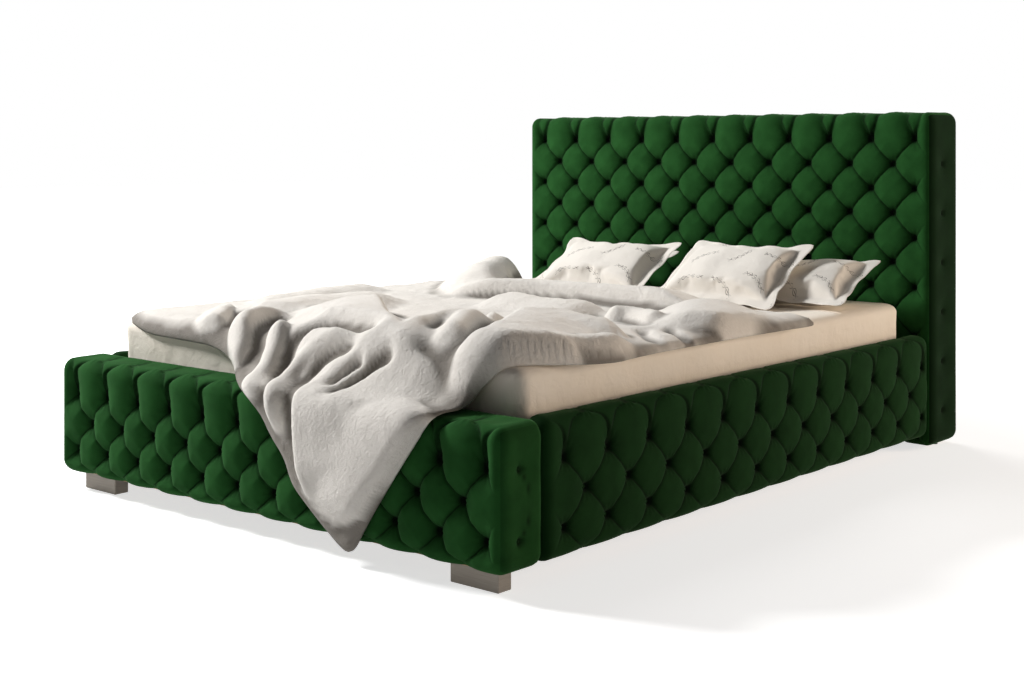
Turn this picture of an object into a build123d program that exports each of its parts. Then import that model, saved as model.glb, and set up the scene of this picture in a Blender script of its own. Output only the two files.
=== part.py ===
"""Tufted storage bed: padded headboard, footboard and rails, a lift-up slatted base, mattress and bedding.

Millimetres. +Z is up, +Y points from the foot end to the headboard, +X is the right side seen from the foot.
The origin lies on the floor in the middle of the bed's outline. Each sub-part is written to parts/NAME.step.
"""
import os
from math import atan2, ceil, cos, degrees, hypot, pi, radians, sin

from build123d import *

os.makedirs("parts", exist_ok=True)

# Mattress, which sets the inside of the bed
MATTRESS_WIDTH = 1600.0
MATTRESS_LENGTH = 2000.0
MATTRESS_HEIGHT = 200.0
MATTRESS_UNDERSIDE = 300.0      # height of the slat crowns above the floor
MATTRESS_CORNER = 60.0          # plan radius of the four corners
MATTRESS_EDGE = 22.0            # rounding of the top and bottom edge
SHEET = 1.2                     # fitted sheet
SIDE_GAP = 15.0                 # mattress to rail
FOOT_GAP = 11.0                 # mattress to footboard
HEAD_GAP = 50.0                 # mattress to headboard, room for the lifted mattress

# Upholstered panels
PANEL_BOTTOM = 50.0             # underside of footboard and rails
PANEL_TOP = 398.0
HEADBOARD_BOTTOM = 10.0
HEADBOARD_TOP = 1155.0
HEADBOARD_DEPTH = 216.0
FOOTBOARD_DEPTH = 155.0
RAIL_DEPTH = 75.0
EDGE_RADIUS = 35.0              # padded edges that face outwards
BACK_RADIUS = 16.0              # padded edges that face a neighbour
PANEL_CORNER = 45.0             # corners seen from the front

# Foam over the wooden cores
HEADBOARD_FOAM = 70.0
HEADBOARD_RIM = 45.0
FOOTBOARD_FOAM = 50.0
FOOTBOARD_RIM = 42.0
FOOTBOARD_BACK_FOAM = 20.0
RAIL_RIM = 34.0
BOARD = 22.0                    # rail boards
PLY = 12.0                      # headboard panel
STILE = 25.0                    # headboard frame
CARCASS = 16.0                  # footboard boards
BACK_COVER = 2.0

# Diamond tufting: buttons sit in staggered rows
HEADBOARD_COLUMNS = 11
HEADBOARD_ROWS = 13
HEADBOARD_ROW_PITCH = 84.7
HEADBOARD_TOP_ROW = 95.0        # first row below the top
HEADBOARD_MARGIN = 70.0         # first button from the end
FOOTBOARD_COLUMNS = 12
FOOTBOARD_MARGIN = 67.0
RAIL_COLUMNS = 12
RAIL_FOOT_MARGIN = 87.0
RAIL_HEAD_MARGIN = 45.0
PANEL_ROWS = 3
PANEL_ROW_PITCH = 83.5
PANEL_TOP_ROW = 107.0
PLEAT_HALF_WIDTH = 38.0
PLEAT_DEPTH = 17.0
PIT_RADIUS = 24.0
PIT_DEPTH = 28.0
PIT_TAPER = 22.0
SCALLOP_HALF_WIDTH = 46.0       # dip of the top edge above each staggered button
SCALLOP_DEPTH = 13.0

# Feet and glides
FOOT_WIDTH = 152.0
FOOT_DEPTH = 47.0
FOOT_INSET = 58.0               # from the end of the footboard
FOOT_SETBACK = 56.0             # from the front of the footboard
FOOT_CHAMFER = 1.5
GLIDE_RADIUS = 11.0

# Storage floor
LEDGER_WIDTH = 25.0
LEDGER_TOP = 90.0
LEDGER_HEIGHT = 30.0
BEAM_WIDTH = 60.0
BEAM_LEG_RADIUS = 18.0
FLOOR_PANEL = 4.0
FLOOR_GAP = 1.0

# Slatted base
TUBE_WIDTH = 20.0
TUBE_HEIGHT = 30.0
TUBE_WALL = 1.5
CENTER_TUBE_WIDTH = 40.0
BASE_HEAD_SETBACK = 15.0        # base shorter than the mattress at the head
BASE_FOOT_SETBACK = 2.0
SLAT_COUNT = 13
SLAT_WIDTH = 53.0
SLAT_THICKNESS = 8.0
SLAT_BOW = 6.0
SLAT_SEAT = 24.0                # length held by a cap
CAP_WALL = 3.0
CAP_CLEARANCE = 0.3
REST_LENGTH = 60.0
REST_HEIGHT = 25.0
REST_REACH = 30.0
REST_FROM_FOOT = 120.0
STOP_ROD = 6.0                  # rod that keeps the mattress from sliding off
STOP_WIDTH = 460.0
STOP_RISE = 90.0
STOP_BEND = 40.0

# Lift hinge and gas struts; both sides alike
PIVOT_FROM_HEAD = 300.0         # from the mattress head end
PIVOT_HEIGHT = 345.0
PLATE = 3.0
ARM = 4.0
RUNNING_GAP = 0.4               # between faces that slide past each other
PIN_RADIUS = 6.0
PIN_CLEARANCE = 0.06
PIN_HEAD = 10.0
HINGE_PLATE_LENGTH = 90.0
HINGE_PLATE_HEIGHT = 44.0
ARM_END = 17.0                  # radius round the pivot
ARM_FOOT = 130.0                # length along the side tube
BOSS_RADIUS = 9.0
STRUT_FROM_RAIL = 27.0          # strut axis to rail board
STRUT_LOW_BACK = 80.0           # lower strut end, from the lift pivot towards the foot
STRUT_LOW_HEIGHT = 140.0
STRUT_TOP_BACK = 620.0          # upper strut end
STRUT_TOP_DROP = 36.0           # below the side tube
STRUT_RADIUS = 11.0
STRUT_BORE = 9.5
STRUT_ROD = 5.0
STRUT_ROD_CLEARANCE = 0.06
STRUT_EYE = 10.0
STRUT_EYE_WIDTH = 12.0
STRUT_PIN = 4.0
STRUT_BODY = 330.0              # eye to open end of the cylinder
STRUT_GLAND = 14.0
STRUT_PISTON_AT = 160.0         # piston from the lower eye, base down
STRUT_PISTON = 12.0
STRUT_NECK = 9.0

# Corner joints
BRACKET_LEG = 45.0
BRACKET_HEIGHT = 130.0
BRACKET_BOTTOM = 110.0
BRACKET_BOLT_INSET = 30.0       # bolt from the top and bottom of the bracket
BOLT_RADIUS = 4.0
BOLT_CLEARANCE = 0.3
BOLT_HEAD_RADIUS = 7.0
BOLT_HEAD = 5.0
BOLT_BITE = 10.0                # thread length in the wood

# Bedding
PILLOW_LENGTH = 520.0
PILLOW_WIDTH = 360.0
PILLOW_CROWN = 42.0             # half thickness
PILLOW_FLANGE = 36.0
PILLOW_HEM = 2.5                # half thickness of the flange
PILLOW_DRAW = 14.0              # how far the sides draw in at the middle
SOFT_GAP = 0.4                  # between loose soft pieces
DUVET = 30.0                    # filled thickness between folds
DUVET_FOLD = 22.0               # how far the hanging folds stand out past that
DUVET_SWELL = 2.0               # soft waves between and on the folds
DUVET_PEAK = 100.0              # highest that the duvet stands off the mattress
DUVET_OVERHANG = 45.0           # past the mattress side
DUVET_AIR = 4.0                 # hanging part to footboard
DUVET_HEM = 9.0
DUVET_COLUMNS = 26              # steps that draw one section
DUVET_STEP = 95.0               # longest way from one section to the next

# Positions that follow from the sizes above
duvet_front = DUVET_AIR + DUVET + DUVET_FOLD
bed_length = duvet_front + FOOTBOARD_DEPTH + FOOT_GAP + MATTRESS_LENGTH + HEAD_GAP + HEADBOARD_DEPTH
footboard_front = -bed_length / 2 + duvet_front
footboard_back = footboard_front + FOOTBOARD_DEPTH
mattress_foot = footboard_back + FOOT_GAP
mattress_head = mattress_foot + MATTRESS_LENGTH
headboard_front = mattress_head + HEAD_GAP
headboard_back = headboard_front + HEADBOARD_DEPTH
mattress_side = MATTRESS_WIDTH / 2
mattress_top = MATTRESS_UNDERSIDE + MATTRESS_HEIGHT
sheet_top = mattress_top + SHEET
rail_inner = mattress_side + SIDE_GAP
rail_outer = rail_inner + RAIL_DEPTH
bed_width = 2 * rail_outer
rail_length = headboard_front - footboard_back
rail_middle = (headboard_front + footboard_back) / 2
panel_height = PANEL_TOP - PANEL_BOTTOM
headboard_height = HEADBOARD_TOP - HEADBOARD_BOTTOM
slat_underside = MATTRESS_UNDERSIDE - SLAT_BOW - SLAT_THICKNESS
tube_top = slat_underside - CAP_WALL - CAP_CLEARANCE
tube_bottom = tube_top - TUBE_HEIGHT
base_side = mattress_side
base_head = mattress_head - BASE_HEAD_SETBACK
base_foot = mattress_foot - BASE_FOOT_SETBACK
pivot_y = mattress_head - PIVOT_FROM_HEAD
strut_x = rail_inner - STRUT_FROM_RAIL
strut_low_y = pivot_y - STRUT_LOW_BACK
strut_top_y = pivot_y - STRUT_TOP_BACK
strut_top_z = tube_bottom - STRUT_TOP_DROP
strut_length = hypot(strut_low_y - strut_top_y, strut_top_z - STRUT_LOW_HEIGHT)
strut_rise = degrees(atan2(strut_top_z - STRUT_LOW_HEIGHT, strut_low_y - strut_top_y))


def box(x0, x1, y0, y1, z0, z1, mode=Mode.ADD):
    """A box between two corners in the bed frame."""
    with Locations(((x0 + x1) / 2, (y0 + y1) / 2, (z0 + z1) / 2)):
        Box(x1 - x0, y1 - y0, z1 - z0, mode=mode)


def save(part, name):
    """Label a finished part and write its file."""
    part.label = name
    export_step(part, f"parts/{name}.step")


def pleats(face, columns, rows, pitch, row_pitch, lean):
    """One set of parallel pleat grooves. The face lies on the crowns, its origin on the first button."""
    along = face.x_dir * (pitch / 2) - face.y_dir * (lean * row_pitch)
    across = (face.z_dir.cross(along) * lean).normalized()
    section = Plane(origin=face.origin, x_dir=across, z_dir=along * lean)
    step = pitch * row_pitch / along.length
    spare = (rows + 2) // 2
    first = -spare if lean > 0 else 0
    reach = hypot(columns * pitch, rows * row_pitch)
    with BuildPart() as grooves:
        with BuildSketch(section):
            with Locations(*[(step * i, 0) for i in range(first, first + columns + spare)]):
                Polygon(
                    (-PLEAT_HALF_WIDTH, 0),
                    (0, -PLEAT_DEPTH),
                    (PLEAT_HALF_WIDTH, 0),
                    (0, PLEAT_DEPTH),
                    align=None,
                )
        extrude(amount=reach, both=True)
        with Locations(face * Location((pitch * (columns - 1) / 2, -row_pitch * (rows - 2) / 2, 0))):
            Box(pitch * (columns - 1), row_pitch * rows, 4 * PLEAT_DEPTH, mode=Mode.INTERSECT)
    return grooves.part


def button_pits(face, columns, rows, pitch, row_pitch):
    """Outlines of the button pits; every second row is shifted by half a pitch."""
    with BuildSketch(face) as pits:
        with Locations(
            *[
                ((i + row % 2 / 2) * pitch, -row * row_pitch)
                for row in range(rows)
                for i in range(columns - row % 2)
            ]
        ):
            RegularPolygon(PIT_RADIUS, 4)
    return pits.sketch


def scallops(edge, columns, pitch):
    """Dips of the top edge above the staggered buttons; the plane's origin is above the first full button."""
    with BuildSketch(edge) as dips:
        with Locations(*[((i + 0.5) * pitch, 0) for i in range(columns - 1)]):
            Polygon(
                (-SCALLOP_HALF_WIDTH, 0),
                (0, -SCALLOP_DEPTH),
                (SCALLOP_HALF_WIDTH, 0),
                (0, SCALLOP_DEPTH),
                align=None,
            )
    return dips.sketch


def bolt_holes(seat, spots, radius):
    """Circles for bolts and their holes."""
    with BuildSketch(seat) as circles:
        with Locations(*spots):
            Circle(radius)
    return circles.sketch


def bolt_heads(seat, spots):
    """Hexagons of the bolt heads."""
    with BuildSketch(seat) as hexagons:
        with Locations(*spots):
            RegularPolygon(BOLT_HEAD_RADIUS, 6)
    return hexagons.sketch


# Headboard: tufted cover over a plywood panel on a wooden frame
headboard_pitch = (bed_width - 2 * HEADBOARD_MARGIN) / (HEADBOARD_COLUMNS - 1)
headboard_face = Plane(
    origin=(-rail_outer + HEADBOARD_MARGIN, headboard_front, HEADBOARD_TOP - HEADBOARD_TOP_ROW),
    x_dir=(1, 0, 0),
    z_dir=(0, -1, 0),
)
headboard_lattice = (headboard_face, HEADBOARD_COLUMNS, HEADBOARD_ROWS, headboard_pitch, HEADBOARD_ROW_PITCH)
headboard_right_pleats = pleats(*headboard_lattice, 1)
headboard_left_pleats = pleats(*headboard_lattice, -1)
core_side = rail_outer - HEADBOARD_RIM
core_top = HEADBOARD_TOP - HEADBOARD_RIM
panel_front = headboard_front + HEADBOARD_FOAM
frame_front = panel_front + PLY
frame_back = headboard_back - BACK_COVER
bolt_heights = (BRACKET_BOTTOM + BRACKET_BOLT_INSET, BRACKET_BOTTOM + BRACKET_HEIGHT - BRACKET_BOLT_INSET)
bolt_x = rail_inner - BRACKET_LEG / 2 - PLATE / 2
bolt_spots = [(side * bolt_x, z) for side in (-1, 1) for z in bolt_heights]

with BuildPart() as headboard_pad:
    with BuildSketch(Plane.XZ.offset(-headboard_back)):
        with Locations((0, HEADBOARD_BOTTOM + headboard_height / 2)):
            RectangleRounded(bed_width, headboard_height, PANEL_CORNER)
    extrude(amount=HEADBOARD_DEPTH)
    fillet(headboard_pad.faces().sort_by(Axis.Y)[0].edges(), EDGE_RADIUS)
    fillet(headboard_pad.faces().sort_by(Axis.Y)[-1].edges(), BACK_RADIUS)
    box(-core_side, core_side, panel_front, headboard_back, HEADBOARD_BOTTOM, core_top, Mode.SUBTRACT)
    headboard_edge = headboard_face.shift_origin(
        (-rail_outer + HEADBOARD_MARGIN, headboard_front, HEADBOARD_TOP)
    )
    extrude(
        scallops(headboard_edge, HEADBOARD_COLUMNS, headboard_pitch),
        amount=-HEADBOARD_DEPTH,
        mode=Mode.SUBTRACT,
    )
    add(headboard_right_pleats, mode=Mode.SUBTRACT)
    add(headboard_left_pleats, mode=Mode.SUBTRACT)
    extrude(button_pits(*headboard_lattice), amount=-PIT_DEPTH, taper=PIT_TAPER, mode=Mode.SUBTRACT)
    headboard_holes = bolt_holes(Plane.XZ.offset(-headboard_front), bolt_spots, BOLT_RADIUS + BOLT_CLEARANCE)
    extrude(headboard_holes, amount=-HEADBOARD_FOAM, mode=Mode.SUBTRACT)
save(headboard_pad.part, "headboard_pad")

with BuildPart() as headboard_panel:
    box(-core_side, core_side, panel_front, frame_front, HEADBOARD_BOTTOM, core_top)
    panel_holes = bolt_holes(Plane.XZ.offset(-panel_front), bolt_spots, BOLT_RADIUS + BOLT_CLEARANCE)
    extrude(panel_holes, amount=-PLY, mode=Mode.SUBTRACT)
save(headboard_panel.part, "headboard_panel")

with BuildPart() as headboard_battens:
    for x in (-core_side, -STILE / 2, core_side - STILE):
        box(x, x + STILE, frame_front, frame_back, HEADBOARD_BOTTOM, core_top)
    for z in (HEADBOARD_BOTTOM + STILE, PANEL_TOP, core_top - STILE):
        for x0 in (-core_side + STILE, STILE / 2):
            box(x0, x0 + core_side - STILE * 1.5, frame_front, frame_front + 3 * STILE, z, z + STILE)
save(headboard_battens.part, "headboard_battens")

with BuildPart() as headboard_back_cover:
    box(-core_side, core_side, frame_back, headboard_back, HEADBOARD_BOTTOM, core_top)
save(headboard_back_cover.part, "headboard_back_cover")

with BuildPart() as headboard_glides:
    for side in (-1, 1):
        with Locations((side * (core_side - STILE / 2), (frame_front + frame_back) / 2, 0)):
            Cylinder(GLIDE_RADIUS, HEADBOARD_BOTTOM, align=(Align.CENTER, Align.CENTER, Align.MIN))
save(headboard_glides.part, "headboard_glides")

# Footboard: the same cover round a box of boards, on two block feet
footboard_pitch = (bed_width - 2 * FOOTBOARD_MARGIN) / (FOOTBOARD_COLUMNS - 1)
footboard_face = Plane(
    origin=(-rail_outer + FOOTBOARD_MARGIN, footboard_front, PANEL_TOP - PANEL_TOP_ROW),
    x_dir=(1, 0, 0),
    z_dir=(0, -1, 0),
)
footboard_lattice = (footboard_face, FOOTBOARD_COLUMNS, PANEL_ROWS, footboard_pitch, PANEL_ROW_PITCH)
footboard_right_pleats = pleats(*footboard_lattice, 1)
footboard_left_pleats = pleats(*footboard_lattice, -1)
boards_side = rail_outer - FOOTBOARD_RIM
boards_front = footboard_front + FOOTBOARD_FOAM
boards_back = footboard_back - FOOTBOARD_BACK_FOAM
boards_top = PANEL_TOP - FOOTBOARD_RIM

with BuildPart() as footboard_pad:
    with BuildSketch(Plane.XZ.offset(-footboard_back)):
        with Locations((0, PANEL_BOTTOM + panel_height / 2)):
            RectangleRounded(bed_width, panel_height, PANEL_CORNER)
    extrude(amount=FOOTBOARD_DEPTH)
    fillet(footboard_pad.faces().sort_by(Axis.Y)[0].edges(), EDGE_RADIUS)
    fillet(footboard_pad.faces().sort_by(Axis.Y)[-1].edges(), BACK_RADIUS)
    box(-boards_side, boards_side, boards_front, boards_back, PANEL_BOTTOM, boards_top, Mode.SUBTRACT)
    footboard_edge = footboard_face.shift_origin((-rail_outer + FOOTBOARD_MARGIN, footboard_front, PANEL_TOP))
    extrude(
        scallops(footboard_edge, FOOTBOARD_COLUMNS, footboard_pitch),
        amount=-FOOTBOARD_DEPTH,
        mode=Mode.SUBTRACT,
    )
    add(footboard_right_pleats, mode=Mode.SUBTRACT)
    add(footboard_left_pleats, mode=Mode.SUBTRACT)
    extrude(button_pits(*footboard_lattice), amount=-PIT_DEPTH, taper=PIT_TAPER, mode=Mode.SUBTRACT)
    footboard_holes = bolt_holes(Plane.XZ.offset(-footboard_back), bolt_spots, BOLT_RADIUS + BOLT_CLEARANCE)
    extrude(footboard_holes, amount=FOOTBOARD_BACK_FOAM, mode=Mode.SUBTRACT)
save(footboard_pad.part, "footboard_pad")

foot_outer = rail_outer - FOOT_INSET
foot_front = footboard_front + FOOT_SETBACK
foot_spots = [(side * (foot_outer - FOOT_WIDTH / 2), foot_front + FOOT_DEPTH / 2) for side in (-1, 1)]

with BuildPart() as footboard_boards:
    box(-boards_side, boards_side, boards_front, boards_front + CARCASS, PANEL_BOTTOM, boards_top)
    box(-boards_side, boards_side, boards_back - CARCASS, boards_back, PANEL_BOTTOM, boards_top)
    inner_front = boards_front + CARCASS
    inner_back = boards_back - CARCASS
    box(-boards_side, boards_side, inner_front, inner_back, boards_top - CARCASS, boards_top)
    for x in (-boards_side, boards_side - CARCASS):
        box(x, x + CARCASS, inner_front, inner_back, PANEL_BOTTOM, boards_top - CARCASS)
    for x, y in foot_spots:
        box(
            x - FOOT_WIDTH / 2,
            x + FOOT_WIDTH / 2,
            inner_front,
            inner_back,
            PANEL_BOTTOM,
            PANEL_BOTTOM + FOOT_DEPTH,
        )
    boards_holes = bolt_holes(Plane.XZ.offset(-boards_back), bolt_spots, BOLT_RADIUS + BOLT_CLEARANCE)
    extrude(boards_holes, amount=CARCASS, mode=Mode.SUBTRACT)
save(footboard_boards.part, "footboard_boards")

for name, spot in zip(("foot_left", "foot_right"), foot_spots):
    with BuildPart() as foot:
        with Locations((spot[0], spot[1], 0)):
            Box(FOOT_WIDTH, FOOT_DEPTH, PANEL_BOTTOM, align=(Align.CENTER, Align.CENTER, Align.MIN))
        chamfer(foot.edges().filter_by(Axis.Z) + foot.faces().sort_by(Axis.Z)[0].edges(), FOOT_CHAMFER)
    save(foot.part, name)

# Side rails: one board with a tufted cover each
rail_pitch = (rail_length - RAIL_FOOT_MARGIN - RAIL_HEAD_MARGIN) / (RAIL_COLUMNS - 1)
rail_face = Plane(
    origin=(rail_outer, footboard_back + RAIL_FOOT_MARGIN, PANEL_TOP - PANEL_TOP_ROW),
    x_dir=(0, 1, 0),
    z_dir=(1, 0, 0),
)
rail_lattice = (rail_face, RAIL_COLUMNS, PANEL_ROWS, rail_pitch, PANEL_ROW_PITCH)
rail_right_pleats = pleats(*rail_lattice, 1)
rail_left_pleats = pleats(*rail_lattice, -1)
board_outer = rail_inner + BOARD
board_top = PANEL_TOP - RAIL_RIM

with BuildPart() as rail_pad_right:
    with BuildSketch(Plane.XZ.offset(-headboard_front)):
        with Locations(((rail_inner + rail_outer) / 2, PANEL_BOTTOM + panel_height / 2)):
            Rectangle(RAIL_DEPTH, panel_height)
        fillet(vertices().group_by(Axis.X)[-1], EDGE_RADIUS)
        fillet(vertices().group_by(Axis.X)[0].sort_by(Axis.Y)[-1], BACK_RADIUS)
    extrude(amount=rail_length)
    box(rail_inner, board_outer, footboard_back, headboard_front, PANEL_BOTTOM, board_top, Mode.SUBTRACT)
    rail_edge = rail_face.shift_origin((rail_outer, footboard_back + RAIL_FOOT_MARGIN, PANEL_TOP))
    extrude(scallops(rail_edge, RAIL_COLUMNS, rail_pitch), amount=-RAIL_DEPTH, mode=Mode.SUBTRACT)
    add(rail_right_pleats, mode=Mode.SUBTRACT)
    add(rail_left_pleats, mode=Mode.SUBTRACT)
    extrude(button_pits(*rail_lattice), amount=-PIT_DEPTH, taper=PIT_TAPER, mode=Mode.SUBTRACT)
save(rail_pad_right.part, "rail_pad_right")

with BuildPart() as rail_pad_left:
    mirror(rail_pad_right.part, about=Plane.YZ)
save(rail_pad_left.part, "rail_pad_left")

rail_bolt_y = (footboard_back + PLATE / 2 + BRACKET_LEG / 2, headboard_front - PLATE / 2 - BRACKET_LEG / 2)
rail_bolt_spots = [(y, z) for y in rail_bolt_y for z in bolt_heights]
with BuildPart() as rail_board_right:
    box(rail_inner, board_outer, footboard_back, headboard_front, PANEL_BOTTOM, board_top)
    rail_holes = bolt_holes(Plane.YZ.offset(rail_inner), rail_bolt_spots, BOLT_RADIUS + BOLT_CLEARANCE)
    extrude(rail_holes, amount=BOLT_BITE, mode=Mode.SUBTRACT)
save(rail_board_right.part, "rail_board_right")

with BuildPart() as rail_board_left:
    mirror(rail_board_right.part, about=Plane.YZ)
save(rail_board_left.part, "rail_board_left")

# Corner joints: steel angles and their bolts
bracket_top = BRACKET_BOTTOM + BRACKET_HEIGHT
with BuildPart() as right_brackets:
    for y, inward in ((footboard_back, 1), (headboard_front, -1)):
        y_leg = sorted((y, y + inward * BRACKET_LEG))
        y_plate = sorted((y, y + inward * PLATE))
        box(rail_inner - PLATE, rail_inner, *y_leg, BRACKET_BOTTOM, bracket_top)
        box(rail_inner - BRACKET_LEG, rail_inner, *y_plate, BRACKET_BOTTOM, bracket_top)
    extrude(rail_holes, amount=-PLATE, mode=Mode.SUBTRACT)
    leg_holes = bolt_holes(
        Plane.XZ.offset(-rail_middle),
        [(bolt_x, z) for z in bolt_heights],
        BOLT_RADIUS + BOLT_CLEARANCE,
    )
    extrude(leg_holes, amount=rail_length / 2, both=True, mode=Mode.SUBTRACT)
with BuildPart() as corner_brackets:
    add(right_brackets.part)
    mirror(right_brackets.part, about=Plane.YZ)
save(corner_brackets.part, "corner_brackets")


right_spots = [(bolt_x, z) for z in bolt_heights]
rail_seat = Plane.YZ.offset(rail_inner - PLATE)
head_seat = Plane.XZ.offset(PLATE - headboard_front)
foot_seat = Plane.XZ.offset(-footboard_back - PLATE)
with BuildPart() as right_bolts:
    extrude(bolt_heads(rail_seat, rail_bolt_spots), amount=-BOLT_HEAD)
    extrude(bolt_holes(rail_seat, rail_bolt_spots, BOLT_RADIUS), amount=PLATE + BOLT_BITE - BOLT_CLEARANCE)
    extrude(bolt_heads(head_seat, right_spots), amount=BOLT_HEAD)
    extrude(bolt_holes(head_seat, right_spots, BOLT_RADIUS), amount=-(PLATE + HEADBOARD_FOAM + PLY))
    extrude(bolt_heads(foot_seat, right_spots), amount=-BOLT_HEAD)
    extrude(bolt_holes(foot_seat, right_spots, BOLT_RADIUS), amount=PLATE + FOOTBOARD_BACK_FOAM + CARCASS)
with BuildPart() as corner_bolts:
    add(right_bolts.part)
    mirror(right_bolts.part, about=Plane.YZ)
save(corner_bolts.part, "corner_bolts")

# Storage floor between the rails
with BuildPart() as rail_ledgers:
    for x0, x1 in ((rail_inner - LEDGER_WIDTH, rail_inner), (-rail_inner, LEDGER_WIDTH - rail_inner)):
        box(x0, x1, footboard_back, headboard_front, LEDGER_TOP - LEDGER_HEIGHT, LEDGER_TOP)
save(rail_ledgers.part, "rail_ledgers")

floor_foot = footboard_back + FLOOR_GAP
floor_head = headboard_front - FLOOR_GAP
with BuildPart() as floor_beam:
    box(-BEAM_WIDTH / 2, BEAM_WIDTH / 2, floor_foot, floor_head, PANEL_BOTTOM, LEDGER_TOP)
save(floor_beam.part, "floor_beam")

with BuildPart() as beam_legs:
    with Locations((0, rail_middle, PANEL_BOTTOM / 2)):
        with GridLocations(0, rail_length / 2, 1, 2):
            Cylinder(BEAM_LEG_RADIUS, PANEL_BOTTOM)
save(beam_legs.part, "beam_legs")

floor_edge = rail_inner - FLOOR_GAP
for name, x0, x1 in (
    ("floor_panel_left", -floor_edge, -FLOOR_GAP / 2),
    ("floor_panel_right", FLOOR_GAP / 2, floor_edge),
):
    with BuildPart() as floor_panel:
        box(x0, x1, floor_foot, floor_head, LEDGER_TOP, LEDGER_TOP + FLOOR_PANEL)
    save(floor_panel.part, name)

# Slatted base: welded tubes, bowed slats in caps
tube_middle = (tube_top + tube_bottom) / 2
base_length = base_head - base_foot
base_middle = (base_head + base_foot) / 2


def tube_section(plane, width):
    """Hollow rectangle of a base tube."""
    with BuildSketch(plane) as section:
        Rectangle(width, TUBE_HEIGHT)
        Rectangle(width - 2 * TUBE_WALL, TUBE_HEIGHT - 2 * TUBE_WALL, mode=Mode.SUBTRACT)
    return section.sketch


side_tube_x = base_side - TUBE_WIDTH / 2
for name, x in (("base_side_tube_left", -side_tube_x), ("base_side_tube_right", side_tube_x)):
    with BuildPart() as side_tube:
        end = Plane(origin=(x, base_middle, tube_middle), x_dir=(1, 0, 0), z_dir=(0, 1, 0))
        extrude(tube_section(end, TUBE_WIDTH), amount=base_length / 2, both=True)
    save(side_tube.part, name)

for name, y in (
    ("base_head_tube", base_head - TUBE_WIDTH / 2),
    ("base_foot_tube", base_foot + TUBE_WIDTH / 2),
):
    with BuildPart() as cross_tube:
        end = Plane(origin=(0, y, tube_middle), x_dir=(0, 1, 0), z_dir=(1, 0, 0))
        extrude(tube_section(end, TUBE_WIDTH), amount=base_side - TUBE_WIDTH, both=True)
    save(cross_tube.part, name)

with BuildPart() as base_center_tube:
    end = Plane(origin=(0, base_middle, tube_middle), x_dir=(1, 0, 0), z_dir=(0, 1, 0))
    extrude(tube_section(end, CENTER_TUBE_WIDTH), amount=base_length / 2 - TUBE_WIDTH, both=True)
save(base_center_tube.part, "base_center_tube")

slat_pitch = (base_length - 2 * TUBE_WIDTH) / SLAT_COUNT
slat_inner = CAP_WALL / 2 + CAP_CLEARANCE
slat_outer = base_side - CAP_WALL - CAP_CLEARANCE
slat_bend = (slat_inner + slat_outer) / 2
slat_spots = [(0, base_middle + (i - (SLAT_COUNT - 1) / 2) * slat_pitch, 0) for i in range(SLAT_COUNT)]
slat_top = slat_underside + SLAT_THICKNESS
with BuildPart() as slat:
    with BuildSketch(Plane.XZ):
        with BuildLine():
            Polyline(
                (slat_inner + SLAT_SEAT, slat_underside),
                (slat_inner, slat_underside),
                (slat_inner, slat_top),
                (slat_inner + SLAT_SEAT, slat_top),
            )
            ThreePointArc(
                (slat_inner + SLAT_SEAT, slat_top),
                (slat_bend, slat_top + SLAT_BOW),
                (slat_outer - SLAT_SEAT, slat_top),
            )
            Polyline(
                (slat_outer - SLAT_SEAT, slat_top),
                (slat_outer, slat_top),
                (slat_outer, slat_underside),
                (slat_outer - SLAT_SEAT, slat_underside),
            )
            ThreePointArc(
                (slat_outer - SLAT_SEAT, slat_underside),
                (slat_bend, slat_underside + SLAT_BOW),
                (slat_inner + SLAT_SEAT, slat_underside),
            )
        make_face()
    extrude(amount=SLAT_WIDTH / 2, both=True)
with BuildPart() as slats_right:
    with Locations(*slat_spots):
        add(slat.part)
save(slats_right.part, "slats_right")

with BuildPart() as slats_left:
    mirror(slats_right.part, about=Plane.YZ)
save(slats_left.part, "slats_left")

cap_top = slat_top + CAP_CLEARANCE + CAP_WALL
cap_width = SLAT_WIDTH + 2 * (CAP_WALL + CAP_CLEARANCE)
slot_width = SLAT_WIDTH + 2 * CAP_CLEARANCE
slot_bottom = slat_underside - CAP_CLEARANCE
slot_top = slat_top + CAP_CLEARANCE
with BuildPart() as right_caps:
    for spot in slat_spots:
        y0, y1 = spot[1] - cap_width / 2, spot[1] + cap_width / 2
        box(base_side - SLAT_SEAT, base_side, y0, y1, tube_top, cap_top)
        box(
            base_side - SLAT_SEAT,
            base_side - CAP_WALL,
            spot[1] - slot_width / 2,
            spot[1] + slot_width / 2,
            slot_bottom,
            slot_top,
            Mode.SUBTRACT,
        )
with BuildPart() as center_caps:
    for spot in slat_spots:
        y0, y1 = spot[1] - cap_width / 2, spot[1] + cap_width / 2
        box(-SLAT_SEAT, SLAT_SEAT, y0, y1, tube_top, cap_top)
        for x0, x1 in ((CAP_WALL / 2, SLAT_SEAT), (-SLAT_SEAT, -CAP_WALL / 2)):
            slot_ends = (spot[1] - slot_width / 2, spot[1] + slot_width / 2)
            box(x0, x1, *slot_ends, slot_bottom, slot_top, Mode.SUBTRACT)
with BuildPart() as slat_caps:
    add(right_caps.part)
    mirror(right_caps.part, about=Plane.YZ)
    add(center_caps.part)
save(slat_caps.part, "slat_caps")

with BuildPart() as base_rests:
    rest_foot = base_foot + REST_FROM_FOOT
    for x0, x1 in ((rail_inner - REST_REACH, rail_inner), (-rail_inner, REST_REACH - rail_inner)):
        box(x0, x1, rest_foot, rest_foot + REST_LENGTH, tube_bottom - REST_HEIGHT, tube_bottom)
save(base_rests.part, "base_rests")

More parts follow.
